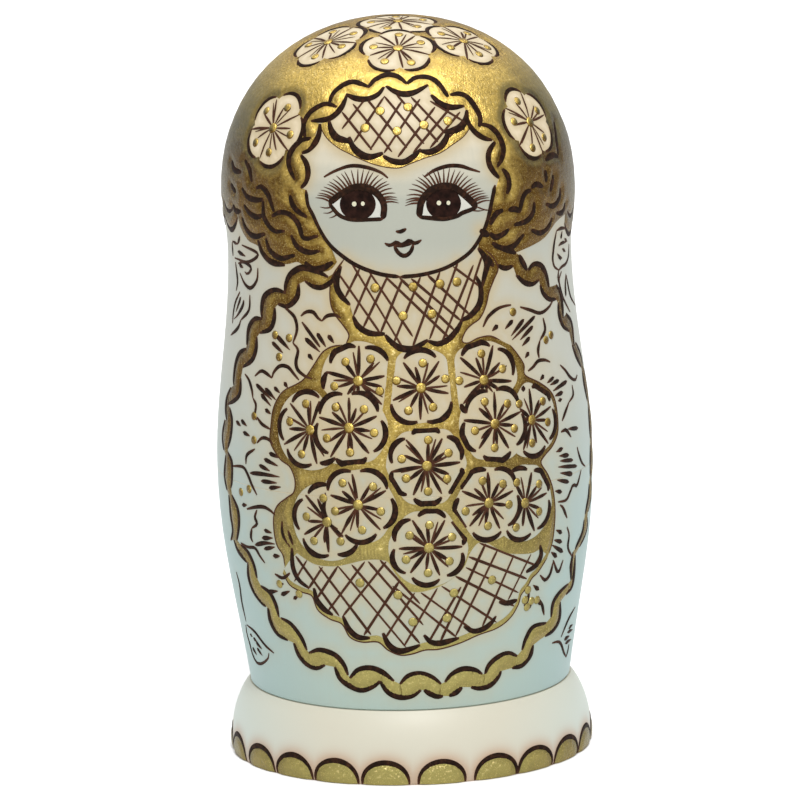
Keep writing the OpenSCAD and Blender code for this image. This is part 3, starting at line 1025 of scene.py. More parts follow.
COLLAR_ARCS = [
    [(341, 266), (337, 278), (337, 288), (342, 297), (350, 305)],
    [(353, 316), (357, 325), (364, 331), (373, 334), (385, 334)],
    [(385, 335), (392, 343), (400, 348), (412, 349), (420, 345), (428, 340)],
    [(428, 341), (438, 344), (448, 340), (457, 330), (462, 320)],
    [(460, 321), (470, 316), (478, 307), (481, 297), (480, 285), (475, 275)],
    [(482, 287), (484, 278), (487, 265), (484, 256), (478, 248)],
]
COLLAR_LATTICE = [
    [(341, 277), (378, 330)], [(357, 272), (395, 335)], [(374, 279), (405, 325)],
    [(392, 283), (441, 330)], [(421, 287), (460, 320)], [(436, 283), (470, 315)],
    [(455, 268), (478, 285)], [(357, 274), (345, 298)], [(370, 277), (356, 310)],
    [(385, 282), (365, 324)], [(400, 285), (383, 327)], [(418, 283), (407, 312), (397, 335)],
    [(438, 277), (417, 335)], [(455, 270), (430, 338)], [(468, 278), (447, 330)],
    [(478, 268), (462, 318)], [(406, 284), (452, 328)],
]
COLLAR_DOTS = [(375, 288), (413, 287), (440, 284), (457, 282), (403, 316), (432, 314)]
COLLAR_LEFT = [
    (345, 258), (333, 275), (330, 290), (331, 305), (336, 316), (343, 325), (349, 335), (346, 344),
]
COLLAR_RIGHT = [
    (500, 340), (490, 336), (478, 338), (468, 343), (462, 341), (465, 332), (471, 325), (480, 318),
    (486, 305), (489, 292), (494, 279), (498, 268), (492, 256), (485, 250),
]
WEB_LEFT = [
    (342, 345), (331, 347), (322, 353), (314, 365), (305, 378), (297, 384), (285, 390), (278, 398),
    (273, 410), (271, 425), (270, 440), (274, 450), (281, 460), (290, 467), (295, 480), (294, 492),
    (288, 497), (278, 505), (274, 515), (274, 530), (277, 545), (283, 555), (285, 566),
]
WEB_RIGHT = [
    (549, 553), (552, 543), (554, 530), (555, 510), (553, 490), (548, 475), (541, 463), (545, 455),
    (553, 445), (558, 430), (556, 405), (551, 392), (540, 383), (525, 375), (524, 365), (518, 355),
    (510, 345),
]
SKIRT_EDGE = [
    (283, 573), (290, 585), (302, 592), (312, 596), (318, 610), (330, 619), (342, 624), (350, 637),
    (362, 642), (378, 642), (388, 650), (400, 655), (412, 654), (425, 650), (440, 649), (460, 643),
    (478, 635), (497, 628), (510, 618), (518, 605), (521, 595), (527, 587), (532, 578), (538, 572),
    (547, 558),
]
SKIRT_ARCS = [
    [(292, 548), (293, 567), (299, 580), (309, 588)], [(314, 588), (317, 600), (324, 609), (333, 615)],
    [(343, 616), (349, 629), (358, 637), (370, 638)],
    [(383, 633), (389, 645), (399, 651), (410, 649), (420, 645)],
    [(424, 635), (431, 642), (441, 643), (459, 638)],
    [(464, 626), (473, 631), (483, 629), (491, 623), (496, 616)], [(499, 602), (508, 603), (517, 600)],
    [(526, 572), (536, 565), (541, 555), (540, 545)],
]
SKIRT_TOP = [
    (297, 553), (307, 560), (318, 565), (338, 566), (366, 560), (386, 561), (393, 570), (400, 580),
    (407, 590), (420, 592), (438, 587), (453, 578), (464, 567), (470, 553), (478, 543), (487, 543),
    (496, 548), (507, 553), (520, 554), (532, 553), (540, 549),
]
SKIRT_LATTICE = [
    [(303, 566), (332, 606)], [(318, 565), (372, 636)], [(338, 566), (400, 640)], [(352, 565), (410, 632)],
    [(367, 560), (412, 612)], [(380, 560), (412, 595)], [(405, 596), (455, 636)], [(420, 592), (470, 628)],
    [(440, 585), (490, 618)], [(453, 575), (512, 605)], [(467, 568), (515, 591)], [(472, 558), (530, 580)],
    [(487, 546), (535, 565)], [(307, 560), (297, 577)], [(322, 568), (309, 588)], [(338, 566), (318, 597)],
    [(366, 560), (331, 607)], [(386, 562), (343, 616)], [(400, 580), (366, 632)], [(410, 600), (386, 637)],
    [(438, 587), (407, 641)], [(455, 597), (431, 638)], [(478, 560), (448, 625)], [(495, 555), (460, 627)],
    [(513, 557), (486, 618)], [(528, 560), (512, 592)],
]
SKIRT_DOTS = [(360, 583), (398, 595), (413, 622), (447, 618), (454, 593), (492, 580)]
gold_loops.append(joined([COLLAR_LEFT, WEB_LEFT, SKIRT_EDGE, WEB_RIGHT, COLLAR_RIGHT]))
# Flowers that lie over one another, by their numbers, have no gold between them
OVERLAPS = {(0, 4), (0, 7), (1, 6), (1, 8), (2, 10), (3, 11)}
middles = np.vstack([DOLL.place([pixel_place(flower[0])]) for flower in FLOWERS])
radii = np.array([flower[1] for flower in FLOWERS]) * MM


def cell_of(n, margin=0.9 * MM, rim=1.2 * MM, reach=1.05):
    """The wood round a flower, up to a gold line halfway to its neighbours and inside the panel's edge."""
    directions = np.linspace(0, math.tau, 72, endpoint=False)
    steps = np.linspace(0.3, reach, 24) * radii[n]
    place = pixel_place(FLOWERS[n][0])
    rivals = [m for m in range(len(FLOWERS)) if m != n and not OVERLAPS & {(n, m), (m, n)}]
    reached = []
    for angle in directions:
        points = DOLL.place(around(place, ring(steps, angle, angle, 24)))
        gaps = np.linalg.norm(points[:, None] - middles, axis=2) - radii
        clear = np.all(gaps[:, [n]] < gaps[:, rivals] - 2 * margin, axis=1)
        clear &= within(flat(around(place, ring(steps + rim, angle, angle, 24))), flat(gold_loops[-1]))
        reached.append(steps[np.argmin(clear) - 1 if not clear.all() else -1] if clear[0] else steps[0])
    smooth = np.mean([np.roll(reached, k) for k in (-1, 0, 1)], axis=0)
    return around(place, ring(smooth, 0, math.tau * 71 / 72, 72))


for n, (pixel, radius, twist, petals) in enumerate(FLOWERS):
    rosette(pixel_place(pixel), radius, twist, petals, cell_of(n))


def lattice(lines, loop, width=0.8):
    """Straight lines, drawn on past their ends as far as the edge of their field."""
    for a, b in np.array([(line[0], line[-1]) for line in lines], float):
        path = on_doll([a - (b - a) * 0.25, b + (b - a) * 0.25])
        inside = within(flat(path), flat(loop))
        if inside.sum() > 2:
            burn(path[inside], width * (0.85 + 0.3 * chance.random()), "even", MIDDLING)


draw(COLLAR_ARCS, 2.2)
draw(SKIRT_ARCS, 2.1)
for pixel in COLLAR_DOTS + SKIRT_DOTS:
    dab(pixel_place(pixel), LATTICE_DROP, MIDDLING)
draw([WEB_LEFT, SKIRT_EDGE, WEB_RIGHT[::-1], COLLAR_LEFT, COLLAR_RIGHT], 0.45, "even", MIDDLING)
collar_lower = [*COLLAR_ARCS[:4], COLLAR_ARCS[4][:4], COLLAR_ARCS[5]]
collar_field = joined([*collar_lower, FACE_EDGE[13:4:-1]])
hem = flat(on_doll(SKIRT_EDGE))
inward = hem.mean(axis=0) * (1, 0.86) - hem
hem += inward / np.linalg.norm(inward, axis=1)[:, None] * 2.6 * MM
skirt_field = np.vstack([on_doll(SKIRT_TOP), unflat(hem)[::-1]])
lattice(COLLAR_LATTICE, collar_field)
lattice(SKIRT_LATTICE, skirt_field)
wood_loops += [collar_field, skirt_field, joined([FACE_EDGE, BAND_EDGE[::-1]])]
print(f"{len(strokes)} strokes with the panel")

# %% [markdown]
# ## The apron's ribbon
# The ribbon has two rows of arcs, and the gold lies between them. On the right the outer row runs behind
# the doll's edge for a stretch, so there it follows the inner one at a ribbon's width.

# %% Draw the apron's ribbon
APRON_OUTER = [
    [(328, 277), (318, 272), (303, 268), (291, 274), (286, 284), (285, 293)],
    [(286, 293), (275, 290), (265, 296), (262, 307), (262, 318)],
    [(262, 319), (255, 319), (249, 328), (247, 345)],
    [(246, 349), (240, 353), (236, 363), (234, 378), (234, 385)],
    [(231, 388), (227, 398), (226, 410), (227, 420)], [(225, 420), (223, 435), (224, 450)],
    [(226, 455), (225, 475), (227, 490)], [(229, 495), (231, 515), (233, 530), (231, 540)],
    [(234, 540), (238, 550), (243, 557), (247, 562)],
    [(248, 562), (249, 578), (254, 592), (262, 603), (266, 606)],
    [(268, 608), (271, 622), (278, 634), (288, 640)],
    [(294, 643), (299, 655), (307, 664), (316, 668), (325, 665)],
    [(335, 667), (340, 678), (350, 686), (362, 690), (374, 686), (380, 681)],
    [(380, 681), (388, 692), (400, 697), (412, 696), (421, 690)], [(424, 690), (436, 696), (443, 696)],
    [(449, 696), (456, 692), (462, 687)], [(471, 687), (480, 688), (490, 685), (498, 677), (501, 671)],
    [(512, 668), (522, 665), (530, 656), (533, 645)], [(545, 636), (553, 630), (559, 619), (560, 602)],
    [(566, 594), (572, 586), (574, 570), (575, 555)],
]
APRON_INNER = [
    [(338, 271), (332, 281), (322, 287), (313, 286), (305, 281)],
    [(299, 284), (297, 297), (288, 306), (278, 304)], [(275, 308), (274, 320), (270, 329), (260, 333)],
    [(257, 337), (256, 350), (252, 360), (243, 367)], [(241, 378), (240, 393), (235, 400), (228, 404)],
    [(230, 408), (232, 420), (231, 435), (228, 448)], [(228, 452), (232, 463), (232, 480), (231, 488)],
    [(232, 495), (238, 510), (239, 525), (237, 540)], [(241, 545), (248, 552), (254, 565), (257, 578)],
    [(261, 586), (270, 593), (276, 605), (279, 617)], [(281, 618), (291, 624), (301, 637), (307, 650)],
    [(309, 653), (320, 650), (335, 655), (344, 665), (348, 675)],
    [(350, 678), (358, 670), (370, 668), (382, 672), (394, 681)],
    [(400, 684), (408, 676), (420, 673), (432, 677), (441, 684)],
    [(445, 682), (452, 674), (463, 669), (475, 670), (482, 674)],
    [(485, 674), (489, 665), (498, 657), (508, 653), (517, 656)],
    [(522, 650), (526, 638), (533, 627), (546, 623)], [(551, 617), (553, 603), (559, 593), (568, 584)],
    [(571, 580), (571, 565), (573, 552)],
]
APRON_RIGHT_INNER = [
    [(575, 549), (582, 533), (584, 520)], [(585, 514), (588, 498), (589, 484)],
    [(590, 476), (590, 460), (590, 445)], [(590, 438), (589, 422), (588, 407)],
    [(587, 400), (584, 385), (582, 371)], [(581, 367), (576, 356), (572, 345)],
    [(569, 331), (563, 326), (559, 315), (558, 303)], [(556, 299), (549, 299), (543, 293), (540, 285)],
    [(539, 280), (532, 284), (524, 282), (516, 275)], [(513, 266), (505, 268), (497, 265)],
    [(494, 266), (490, 262), (487, 255)],
]
APRON_RIGHT_OUTER = [
    [(574, 346), (573, 336), (571, 322), (566, 314)], [(563, 318), (562, 305), (560, 293), (556, 285)],
    [(549, 287), (546, 275), (541, 266), (534, 264), (528, 270)], [(527, 270), (522, 262), (519, 255)],
    [(516, 253), (505, 249), (494, 246)],
]
draw(APRON_OUTER + APRON_RIGHT_OUTER, 2.2)
draw(APRON_INNER + APRON_RIGHT_INNER, 1.9)
inner_edge = joined(APRON_INNER + APRON_RIGHT_INNER)
hidden = []
for arc in APRON_RIGHT_INNER[:6]:
    path = on_doll(arc)
    bulge = 4.2 + 1.8 * np.sin(np.linspace(0, math.pi, len(path)))
    path = np.column_stack([path[:, 0] + bulge * MM / DOLL.radius(path[:, 1]), path[:, 1]])
    burn(path, 1.8)
    hidden.append(path)
outer_edge = np.vstack([joined(APRON_OUTER), *hidden, joined(APRON_RIGHT_OUTER)])
gold_loops.append(np.vstack([outer_edge, inner_edge[::-1]]))
print(f"{len(strokes)} strokes with the apron")

# %% [markdown]
# ## The leaf sprays
# Each spray is a few curled stems with drop-shaped leaves. The photo doesn't show the back of the dress. It
# wears the sprays of the left side twice, once mirrored, as an arch over three flowers.

# %% Draw the leaf sprays
STEMS = [
    [(283, 306), (289, 311), (295, 318), (297, 330), (293, 343)],
    [(293, 343), (298, 350), (296, 362), (298, 370), (305, 376), (312, 379)],
    [(301, 316), (306, 312), (313, 312), (318, 318), (322, 321)],
    [(322, 321), (327, 316), (335, 315), (341, 318)], [(302, 322), (310, 333), (320, 347)],
    [(255, 376), (261, 371), (266, 373), (272, 378)],
    [(272, 378), (274, 372), (280, 366), (288, 367), (294, 374), (299, 380)],
    [(245, 374), (249, 380), (252, 390), (253, 398)], [(253, 398), (256, 405), (255, 415), (257, 420)],
    [(257, 417), (262, 424), (270, 429)], [(257, 443), (262, 438), (268, 439), (273, 444)],
    [(255, 449), (247, 455), (246, 464)], [(233, 466), (243, 467), (248, 475), (252, 485), (257, 495)],
    [(247, 509), (256, 507), (264, 507), (271, 511), (275, 515)],
    [(257, 510), (255, 517), (257, 524), (252, 528)], [(252, 528), (251, 537), (253, 542)],
    [(241, 543), (248, 547), (255, 548), (260, 556), (265, 563)], [(275, 574), (283, 578), (290, 573)],
    [(483, 327), (488, 317), (497, 309), (505, 306), (511, 305)],
    [(520, 307), (530, 310), (540, 313), (548, 308), (553, 300)], [(543, 318), (545, 330), (540, 340)],
    [(540, 340), (538, 350), (539, 358)], [(528, 371), (533, 367), (538, 361), (545, 360), (550, 362)],
    [(560, 365), (565, 370), (570, 377), (575, 380), (577, 375)], [(572, 385), (573, 395), (569, 402)],
    [(569, 402), (566, 410), (562, 421)], [(577, 447), (579, 455), (582, 463), (585, 466)],
    [(561, 432), (566, 430), (571, 437)],
    [(558, 502), (566, 500), (570, 492), (573, 485), (577, 485), (581, 470)],
    [(560, 505), (563, 508), (567, 518)], [(567, 527), (569, 535), (568, 548), (573, 558)],
    [(553, 560), (558, 572), (563, 560)], [(540, 575), (545, 580), (550, 574), (553, 562)],
    [(538, 598), (542, 605), (544, 615)], [(235, 258), (248, 262), (258, 254), (242, 245)],
    [(240, 273), (245, 284), (251, 288), (257, 280), (258, 268)], [(250, 295), (249, 310), (241, 320)],
    [(241, 320), (238, 328), (231, 335)], [(247, 625), (255, 632), (265, 645), (274, 653)],
    [(246, 625), (247, 633), (250, 644), (253, 655), (257, 662.5), (262, 663.5), (268, 658.5),
     (269, 653)],
    [(556.4, 231), (554.3, 242), (553.2, 251), (552.6, 259), (554.3, 266.5), (558.6, 270)],
    [(566, 275), (570, 295), (575, 305)],
    [(552, 643), (558, 641.6), (561, 644), (563.6, 652), (566, 657)],
    [(575, 607), (568, 620), (561, 637)], [(282, 521), (283, 535), (290, 547)], [(288, 530), (293, 545)],
    [(232.7, 241.3), (235, 242.8), (237.7, 244)], [(237.7, 244), (239, 240), (240, 236.3)],
    [(232.4, 242), (232.7, 249), (233.2, 256)],
    [(238.4, 263.4), (243.4, 262), (249, 265), (251.3, 269), (247.7, 274), (245, 272)],
    [(235.6, 262), (237, 273.4), (237.7, 282), (236.3, 290.6)],
    [(240, 292), (235.6, 302), (233.4, 313.4), (232.7, 323.4)],
    [(236.5, 572), (239.7, 585), (242, 602), (246.2, 621.5)],
    [(556.4, 230.7), (561.4, 228), (565.7, 228.6)], [(558.6, 245.7), (561.4, 243), (565.7, 242)],
    [(568.8, 244), (568.2, 256.4), (565.7, 263.6), (562, 266.4), (558.6, 270)],
    [(558.6, 270), (558, 278), (560, 286.4)],
    [(561.4, 271.4), (559, 280.7), (562, 295), (565.7, 303.6), (570, 312)],
    [(568.8, 644), (567.7, 650.5), (566, 657)], [(529, 592), (527.5, 600), (524, 606)],
    [(531, 603), (530, 606), (528.5, 609)],
]
LEAVES = [
    [(305, 338), (320, 352)], [(317, 333), (326, 347)], [(328, 335), (334, 343)],
    [(308, 354), (313, 360)], [(276, 335), (290, 350)], [(272, 342), (283, 353)],
    [(256, 384), (272, 400)], [(265, 388), (276, 400)], [(274, 387), (280, 393)],
    [(284, 382), (288, 388)], [(261, 394), (271, 406)], [(265, 409), (271, 414)],
    [(236, 421), (241, 426)], [(241, 420), (247, 426)], [(243, 432), (250, 436)],
    [(269, 453), (280, 458)], [(264, 459), (278, 466)], [(259, 465), (270, 471)],
    [(250, 473), (262, 474), (280, 477)], [(261, 481), (277, 483)], [(269, 488), (281, 487)],
    [(242, 505), (247, 505)], [(264, 530), (272, 533)], [(262, 538), (273, 538)],
    [(255, 545), (265, 543), (275, 544)], [(264, 549), (275, 547)], [(273, 556), (280, 556)],
    [(277, 583), (284, 584)], [(268, 592), (278, 591)], [(281, 595), (290, 591)],
    [(492, 331), (498, 325)], [(505, 329), (513, 320)], [(511, 336), (524, 319)],
    [(512, 340), (535, 316)], [(520, 340), (533, 326)], [(522, 346), (530, 337)],
    [(525, 358), (529, 352)], [(540, 380), (544, 375)], [(547, 383), (554, 377)],
    [(550, 385), (559, 380)], [(553, 391), (567, 381)], [(555, 396), (563, 392)],
    [(558, 401), (562, 399)], [(556, 452), (563, 448)], [(559, 456), (569, 455)],
    [(560, 461), (573, 460)], [(558, 467), (577, 466)], [(560, 473), (573, 474)],
    [(557, 480), (569, 482)], [(555, 491), (562, 492)], [(568, 429), (578, 428)],
    [(556, 530), (562, 533)], [(554, 540), (562, 542)], [(552, 545), (563, 552)],
    [(551, 552), (557, 557)], [(533, 585), (539, 590)], [(250, 634), (252.5, 636.5)],
    [(253.4, 638), (257, 641.5)], [(256, 642), (262, 649)], [(252.6, 647.5), (257, 655)],
    [(257, 648), (262.5, 655.5)], [(293.5, 599), (298, 596)], [(536, 596.5), (541, 605)],
    [(562, 230.7), (560.7, 239)], [(564.3, 238.6), (567, 241.4)], [(562, 248.8), (565.4, 251.4)],
    [(557, 253.6), (560, 257.9), (562, 257.9)], [(241, 297), (236, 312)],
    [(244, 300), (242.7, 306), (237.7, 315), (234, 319)], [(237.7, 251.3), (245.6, 256.3)],
    [(239, 264), (243.4, 267.7)], [(565.7, 273.6), (565.2, 283.6), (565.7, 296.4)],
    [(572.5, 624.6), (568.5, 628.5)], [(572.5, 629.5), (567, 632.5)], [(569.3, 636), (564, 639.5)],
    [(571, 639.2), (565, 643.5)],
]
SPRAY_DOTS = [
    (275, 335), (289, 338), (279, 357), (254, 416), (254, 440), (249, 489), (241, 492), (513, 312),
    (551, 335), (546, 340), (279.5, 584), (299, 594), (528, 590), (525, 600), (531.5, 601), (527, 607),
    (537, 600),
]
draw(STEMS, 1.25, "both", MIDDLING)
for leaf in LEAVES:
    burn(on_doll(leaf if leaf[0][0] < DOLL_PIXEL[0] else leaf[::-1], 1.8), 1.5, "drop", MIDDLING)
for pixel in SPRAY_DOTS:
    dab(pixel_place(pixel), 1.4, MIDDLING)

# The first stems and leaves of the tables are those of the left side
LEFT_STEMS, LEFT_LEAVES = STEMS[:17], LEAVES[:26]
for pixel, radius in (((421, 395), 11.5), ((427, 466), 12), ((429, 540), 11.5)):
    rosette((math.pi, pixel_place(pixel)[1]), radius, 90)
for mirrored, degrees in ((1, 201), (-1, 159)):
    for pieces, taper in ((LEFT_STEMS, "both"), (LEFT_LEAVES, "drop")):
        for piece in pieces:
            theta, s = on_doll(piece).T
            burn(np.column_stack([theta * mirrored + math.radians(degrees), s]), 1.4, taper, MIDDLING)
print(f"{len(strokes)} strokes and {len(drops)} drops of gold in all")

# %% [markdown]
# ## The pedestal's scallops
# Half-round spots of gold sit along the lower edge of the pedestal, each under a burnt arc with a scorched
# halo. Their angles in front were read off the photo, and the rest continue at the same spacing.

# %% Draw the scallops
SCALLOPS = [-74.5, -56.8, -40.7, -24.8, -8.6, 9.2, 27.3, 42.8, 58.8, 74.5]
SPACING = 16.23
SCALLOPS += [side * (SCALLOPS[-1] + SPACING * n) for n in range(1, 7) for side in (1, -1)]
WIDE, TALL = 15.2 * MM, 7.2 * MM
brim = float(PEDESTAL.s[np.argmax(PEDESTAL.z < 0.6 * MM)])
span = WIDE / 2 / PEDESTAL.radius(brim)
half_turn = np.linspace(0, math.pi, 25)
pedestal_arcs = []
for degrees in SCALLOPS:
    theta = math.radians(degrees) + span * np.cos(half_turn)
    arc = np.column_stack([theta, brim - TALL * np.sin(half_turn) ** 0.85])
    burn(arc, 1.8, "both", MAIN, PEDESTAL)
    pedestal_arcs.append(arc)
print(f"{len(SCALLOPS)} scallops")

# %% [markdown]
# ## Ten dolls from one drawing
# Every smaller doll is the outer one shrunk towards the middle of its foot, so the whole drawing can be
# used again: a point is scaled about the foot and moved to where that doll stands. Lines shrink a little
# less than the doll, as the same pen drew them, and the finest strokes are left out once they would run
# together.

# %% Find each doll's size and seat
THINNEST = 0.45


class Doll:
    """Where a doll stands, how small it is, and which bodies its two halves ride on."""

    def __init__(self, number):
        self.number = number
        if number < len(ORDINALS):
            self.name = ORDINALS[number]
            self.top_node, self.bottom_node = f"{self.name}_top_half", f"{self.name}_bottom_half"
            self.top_body, self.bottom_body = f"{self.name}_top", f"{self.name}_bottom"
        else:
            self.name = self.top_body = self.bottom_body = "tenth"
            self.top_node = self.bottom_node = "tenth_doll"
        self.seat = FOOT if number == 0 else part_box(self.bottom_node)[0].z
        self.scale = (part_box(self.top_node)[1].z - self.seat) / (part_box("outer_top_half")[1].z - FOOT)

    def parts(self):
        """For each half: whether it is the top, how its pieces' names start, and its body."""
        return (True, f"{self.name}_top", self.top_body), (False, f"{self.name}_bottom", self.bottom_body)

    def film(self, thickness):
        """A thickness of paint in millimetres, before it shrinks: a small doll has less, down to a limit."""
        return thickness * MM * max(self.scale, THINNEST) / self.scale

    def shrink(self, points):
        """Points of the outer doll, brought to this one."""
        return np.asarray(points) * self.scale + (0, 0, self.seat - FOOT * self.scale)

    def enlarge(self, points):
        """Points of this doll, brought to the outer one."""
        return (np.asarray(points) - (0, 0, self.seat)) / self.scale + (0, 0, FOOT)


dolls = [Doll(number) for number in range(len(ORDINALS) + 1)]
print([f"{doll.name} {doll.scale:.3f}" for doll in dolls])

# %% [markdown]
# ## Turned skins
# Each turned piece of the frame is replaced by a finer one from the node tree. The skins then get their
# scorch: the nearer a point is to a burnt line, the warmer the wood. The face's own lines leave none, since
# the photo's face is clean. The places of the scarf's flowers are marked too, since their wood takes the
# palest tone, that of the upward faces.

# %% Turn the wood
FOLD = math.radians(28)
SCORCH, EMBER, WARM_REACH = 0.8, 0.55, 2.8 * MM
WIDE_SHARE = 0.75
OUTER_SEGMENTS, PEDESTAL_STEP = 256, 1.0 * MM


def bare_wood(node, outline):
    """Marks the points of an outline that are bare wood, inside or underneath."""
    r, z = outline.T
    wide = np.flatnonzero(r > WIDE_SHARE * r.max())
    first = wide[0]
    if "top" in node:
        first, last = 0, np.argmax(z < z.min() + HAIR)
    elif node == "pedestal":
        last = wide[-1]
    elif node == "tenth_doll":
        last = len(r) - 1
    else:
        last = np.flatnonzero(r > r.max() - HAIR)[-1] + 1
    bare = np.ones(len(r))
    bare[first : last + 1] = 0
    return bare


def turned(node, name, finish, segments, step):
    """A turned piece of the frame, made anew with a fine mesh."""
    outline = refined(outlines[node], step)
    mesh = bpy.data.meshes.new(name + " outline")
    mesh.from_pydata([(r, 0, z) for r, z in outline], [(i, i + 1) for i in range(len(outline) - 1)], [])
    store(mesh, "bare", bare_wood(node, outline))
    piece = grow(name, trees["turned"], mesh, Segments=segments, Finish=finishes[finish])
    face_out(piece)
    piece.data.set_sharp_from_angle(angle=FOLD)
    return piece


def search_tree(paths, skin, closer=1):
    """A search tree of the points of some paths, with more points between them if asked."""
    spots = []
    for path in paths:
        at = np.linspace(0, len(path) - 1, (len(path) - 1) * closer + 1)
        denser = [np.interp(at, np.arange(len(path)), column) for column in path.T]
        spots.append(skin.place(np.column_stack(denser)))
    spots = np.vstack(spots)
    tree = KDTree(len(spots))
    for i, spot in enumerate(spots):
        tree.insert(spot, i)
    tree.balance()
    return tree


def warm(piece, tree, title, strength, back=np.asarray):
    """Stores how near each point of a skin is to the strokes; back brings it to the doll that they lie on."""
    points = back(corners(piece.data))
    bare, value = np.empty(len(points)), np.zeros(len(points))
    piece.data.attributes["bare"].data.foreach_get("value", bare)
    for i in np.flatnonzero(bare < 0.5):
        value[i] = strength * math.exp(-((tree.find(points[i])[2] / WARM_REACH) ** 2))
    store(piece.data, title, value)


def pale_petals(piece, back):
    """Marks the points of a skin that lie in a flower of the headscarf."""
    points = back(corners(piece.data))
    inside = np.zeros(len(points))
    for loop in scarf_flowers:
        edge = DOLL.place(loop)
        middle = edge.mean(axis=0)
        reach = np.linalg.norm(edge - middle, axis=1).max()
        inside[np.linalg.norm(points - middle, axis=1) < reach] = 1
    store(piece.data, "petal", inside)


scorching = [path for skin, path, half, rank in strokes[:face_start] + strokes[face_end:] if skin is DOLL]
doll_warmth = search_tree(scorching, DOLL)
pedestal_warmth = search_tree(pedestal_arcs, PEDESTAL)
wood_faces = 0
for doll in dolls:
    segments, step = OUTER_SEGMENTS, FINE
    if doll.number > 0:
        segments, step = max(64, round(150 * doll.scale)), max(0.6, 2.2 * doll.scale) * MM
    for node, body in {doll.bottom_node: doll.bottom_body, doll.top_node: doll.top_body}.items():
        skin = turned(node, node + ".wood", "doll", segments, step)
        warm(skin, doll_warmth, "scorch", SCORCH, doll.enlarge)
        pale_petals(skin, doll.enlarge)
        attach(skin, body)
        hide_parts(node)
        wood_faces += len(skin.data.polygons)
foot = turned("pedestal", "pedestal.wood", "pedestal", OUTER_SEGMENTS, PEDESTAL_STEP)
warm(foot, pedestal_warmth, "ember", EMBER)
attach(foot, "outer_bottom")
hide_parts("pedestal")
print(f"{wood_faces + len(foot.data.polygons)} faces of wood")

# %% [markdown]
# ## Lines as pieces
# The strokes of one body become one piece. A stroke that crosses the parting line is cut there, so each
# half takes its own share when the doll opens. Small dolls have fewer points along a stroke and fewer sides
# round it.

# %% Lay down the burnt lines
LINE_LIFT, FLATNESS = 0.07 * MM, 0.2
THICKNESS_POWER = 0.85
FINEST_FROM, MIDDLING_FROM = 0.5, 0.25
OUTER_SIDES = 8


def cut_at_seam(path, half):
    """Cuts a path of the doll at the parting line into (is_top, path, half widths)."""
    above = path[:, 1] < SEAM
    runs, start = [], 0
    for i in range(1, len(path) + 1):
        if i == len(path) or above[i] != above[start]:
            run, widths = path[start:i], half[start:i]
            if start > 0:
                run, widths = np.vstack([meeting, run]), np.append(width, widths)
            if i < len(path):
                t = (SEAM - path[i - 1, 1]) / (path[i, 1] - path[i - 1, 1])
                meeting = path[i - 1] + t * (path[i] - path[i - 1])
                width = half[i - 1] + t * (half[i] - half[i - 1])
                run, widths = np.vstack([run, meeting]), np.append(widths, width)
            runs.append((bool(above[start]), run, widths))
            start = i
    return [run for run in runs if len(run[1]) > 2]


def thinned(path, half, every):
    """A path with fewer points, and with both its ends."""
    keep = np.unique(np.append(np.arange(0, len(path), every), len(path) - 1))
    return path[keep], half[keep]


def line_piece(name, runs, body, sides, place):
    """One piece of burnt line from (skin, path, half widths)."""
    points, edges, leans, widths = [], [], [], []
    count = 0
    for skin, path, half in runs:
        points.append(place(skin.place(path, LINE_LIFT)))
        leans.append(skin.outward(path))
        widths.append(half)
        edges += [(i, i + 1) for i in range(count, count + len(path) - 1)]
        count += len(path)
    mesh = bpy.data.meshes.new(name + " paths")
    mesh.from_pydata(np.vstack(points).tolist(), edges, [])
    store(mesh, "lean", np.vstack(leans), "FLOAT_VECTOR")
    store(mesh, "half", np.concatenate(widths))
    piece = grow(name, trees["burnt"], mesh, Sides=sides, Flatness=FLATNESS, Finish=finishes["burnt"])
    face_out(piece)
    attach(piece, body)
    return piece


drawn = 0
for doll in dolls:
    finest = FINEST if doll.scale > FINEST_FROM else MIDDLING if doll.scale > MIDDLING_FROM else MAIN
    every, sides = (1, OUTER_SIDES) if doll.number == 0 else (2, 6) if doll.number < 4 else (3, 5)
    sorted_runs = {True: [], False: []}
    for skin, path, half, rank in strokes:
        if skin is DOLL and rank <= finest:
            for is_top, run, widths in cut_at_seam(*thinned(path, half, every)):
                sorted_runs[is_top].append((skin, run, widths * doll.scale**THICKNESS_POWER))
    for is_top, title, body in doll.parts():
        piece = line_piece(title + ".lines", sorted_runs[is_top], body, sides, doll.shrink)
        drawn += len(piece.data.polygons)
pedestal_runs = [(skin, path, half) for skin, path, half, rank in strokes if skin is PEDESTAL]
line_piece("pedestal.lines", pedestal_runs, "outer_bottom", OUTER_SIDES, np.asarray)
print(f"{drawn} faces of burnt line")

# %% [markdown]
# ## Gold as pieces
# The gold of one body is a thin closed sheet: the loops are triangulated on the map, triangles outside the
# gold are dropped, and what is left gets a top, a bottom and an edge. On the outer doll the paint swells
# between the burnt grooves, as thick paint does.

# %% Brush on the gold
SHEET_SINK, INNER_SHEET = 0.12 * MM, 0.1
LOW_GOLD, SWELL = 0.05, 0.5
GROOVE, SWELL_REACH = 0.45 * MM, 1.25 * MM
TINY = 1e-7
EDGE_FOLD = math.radians(45)


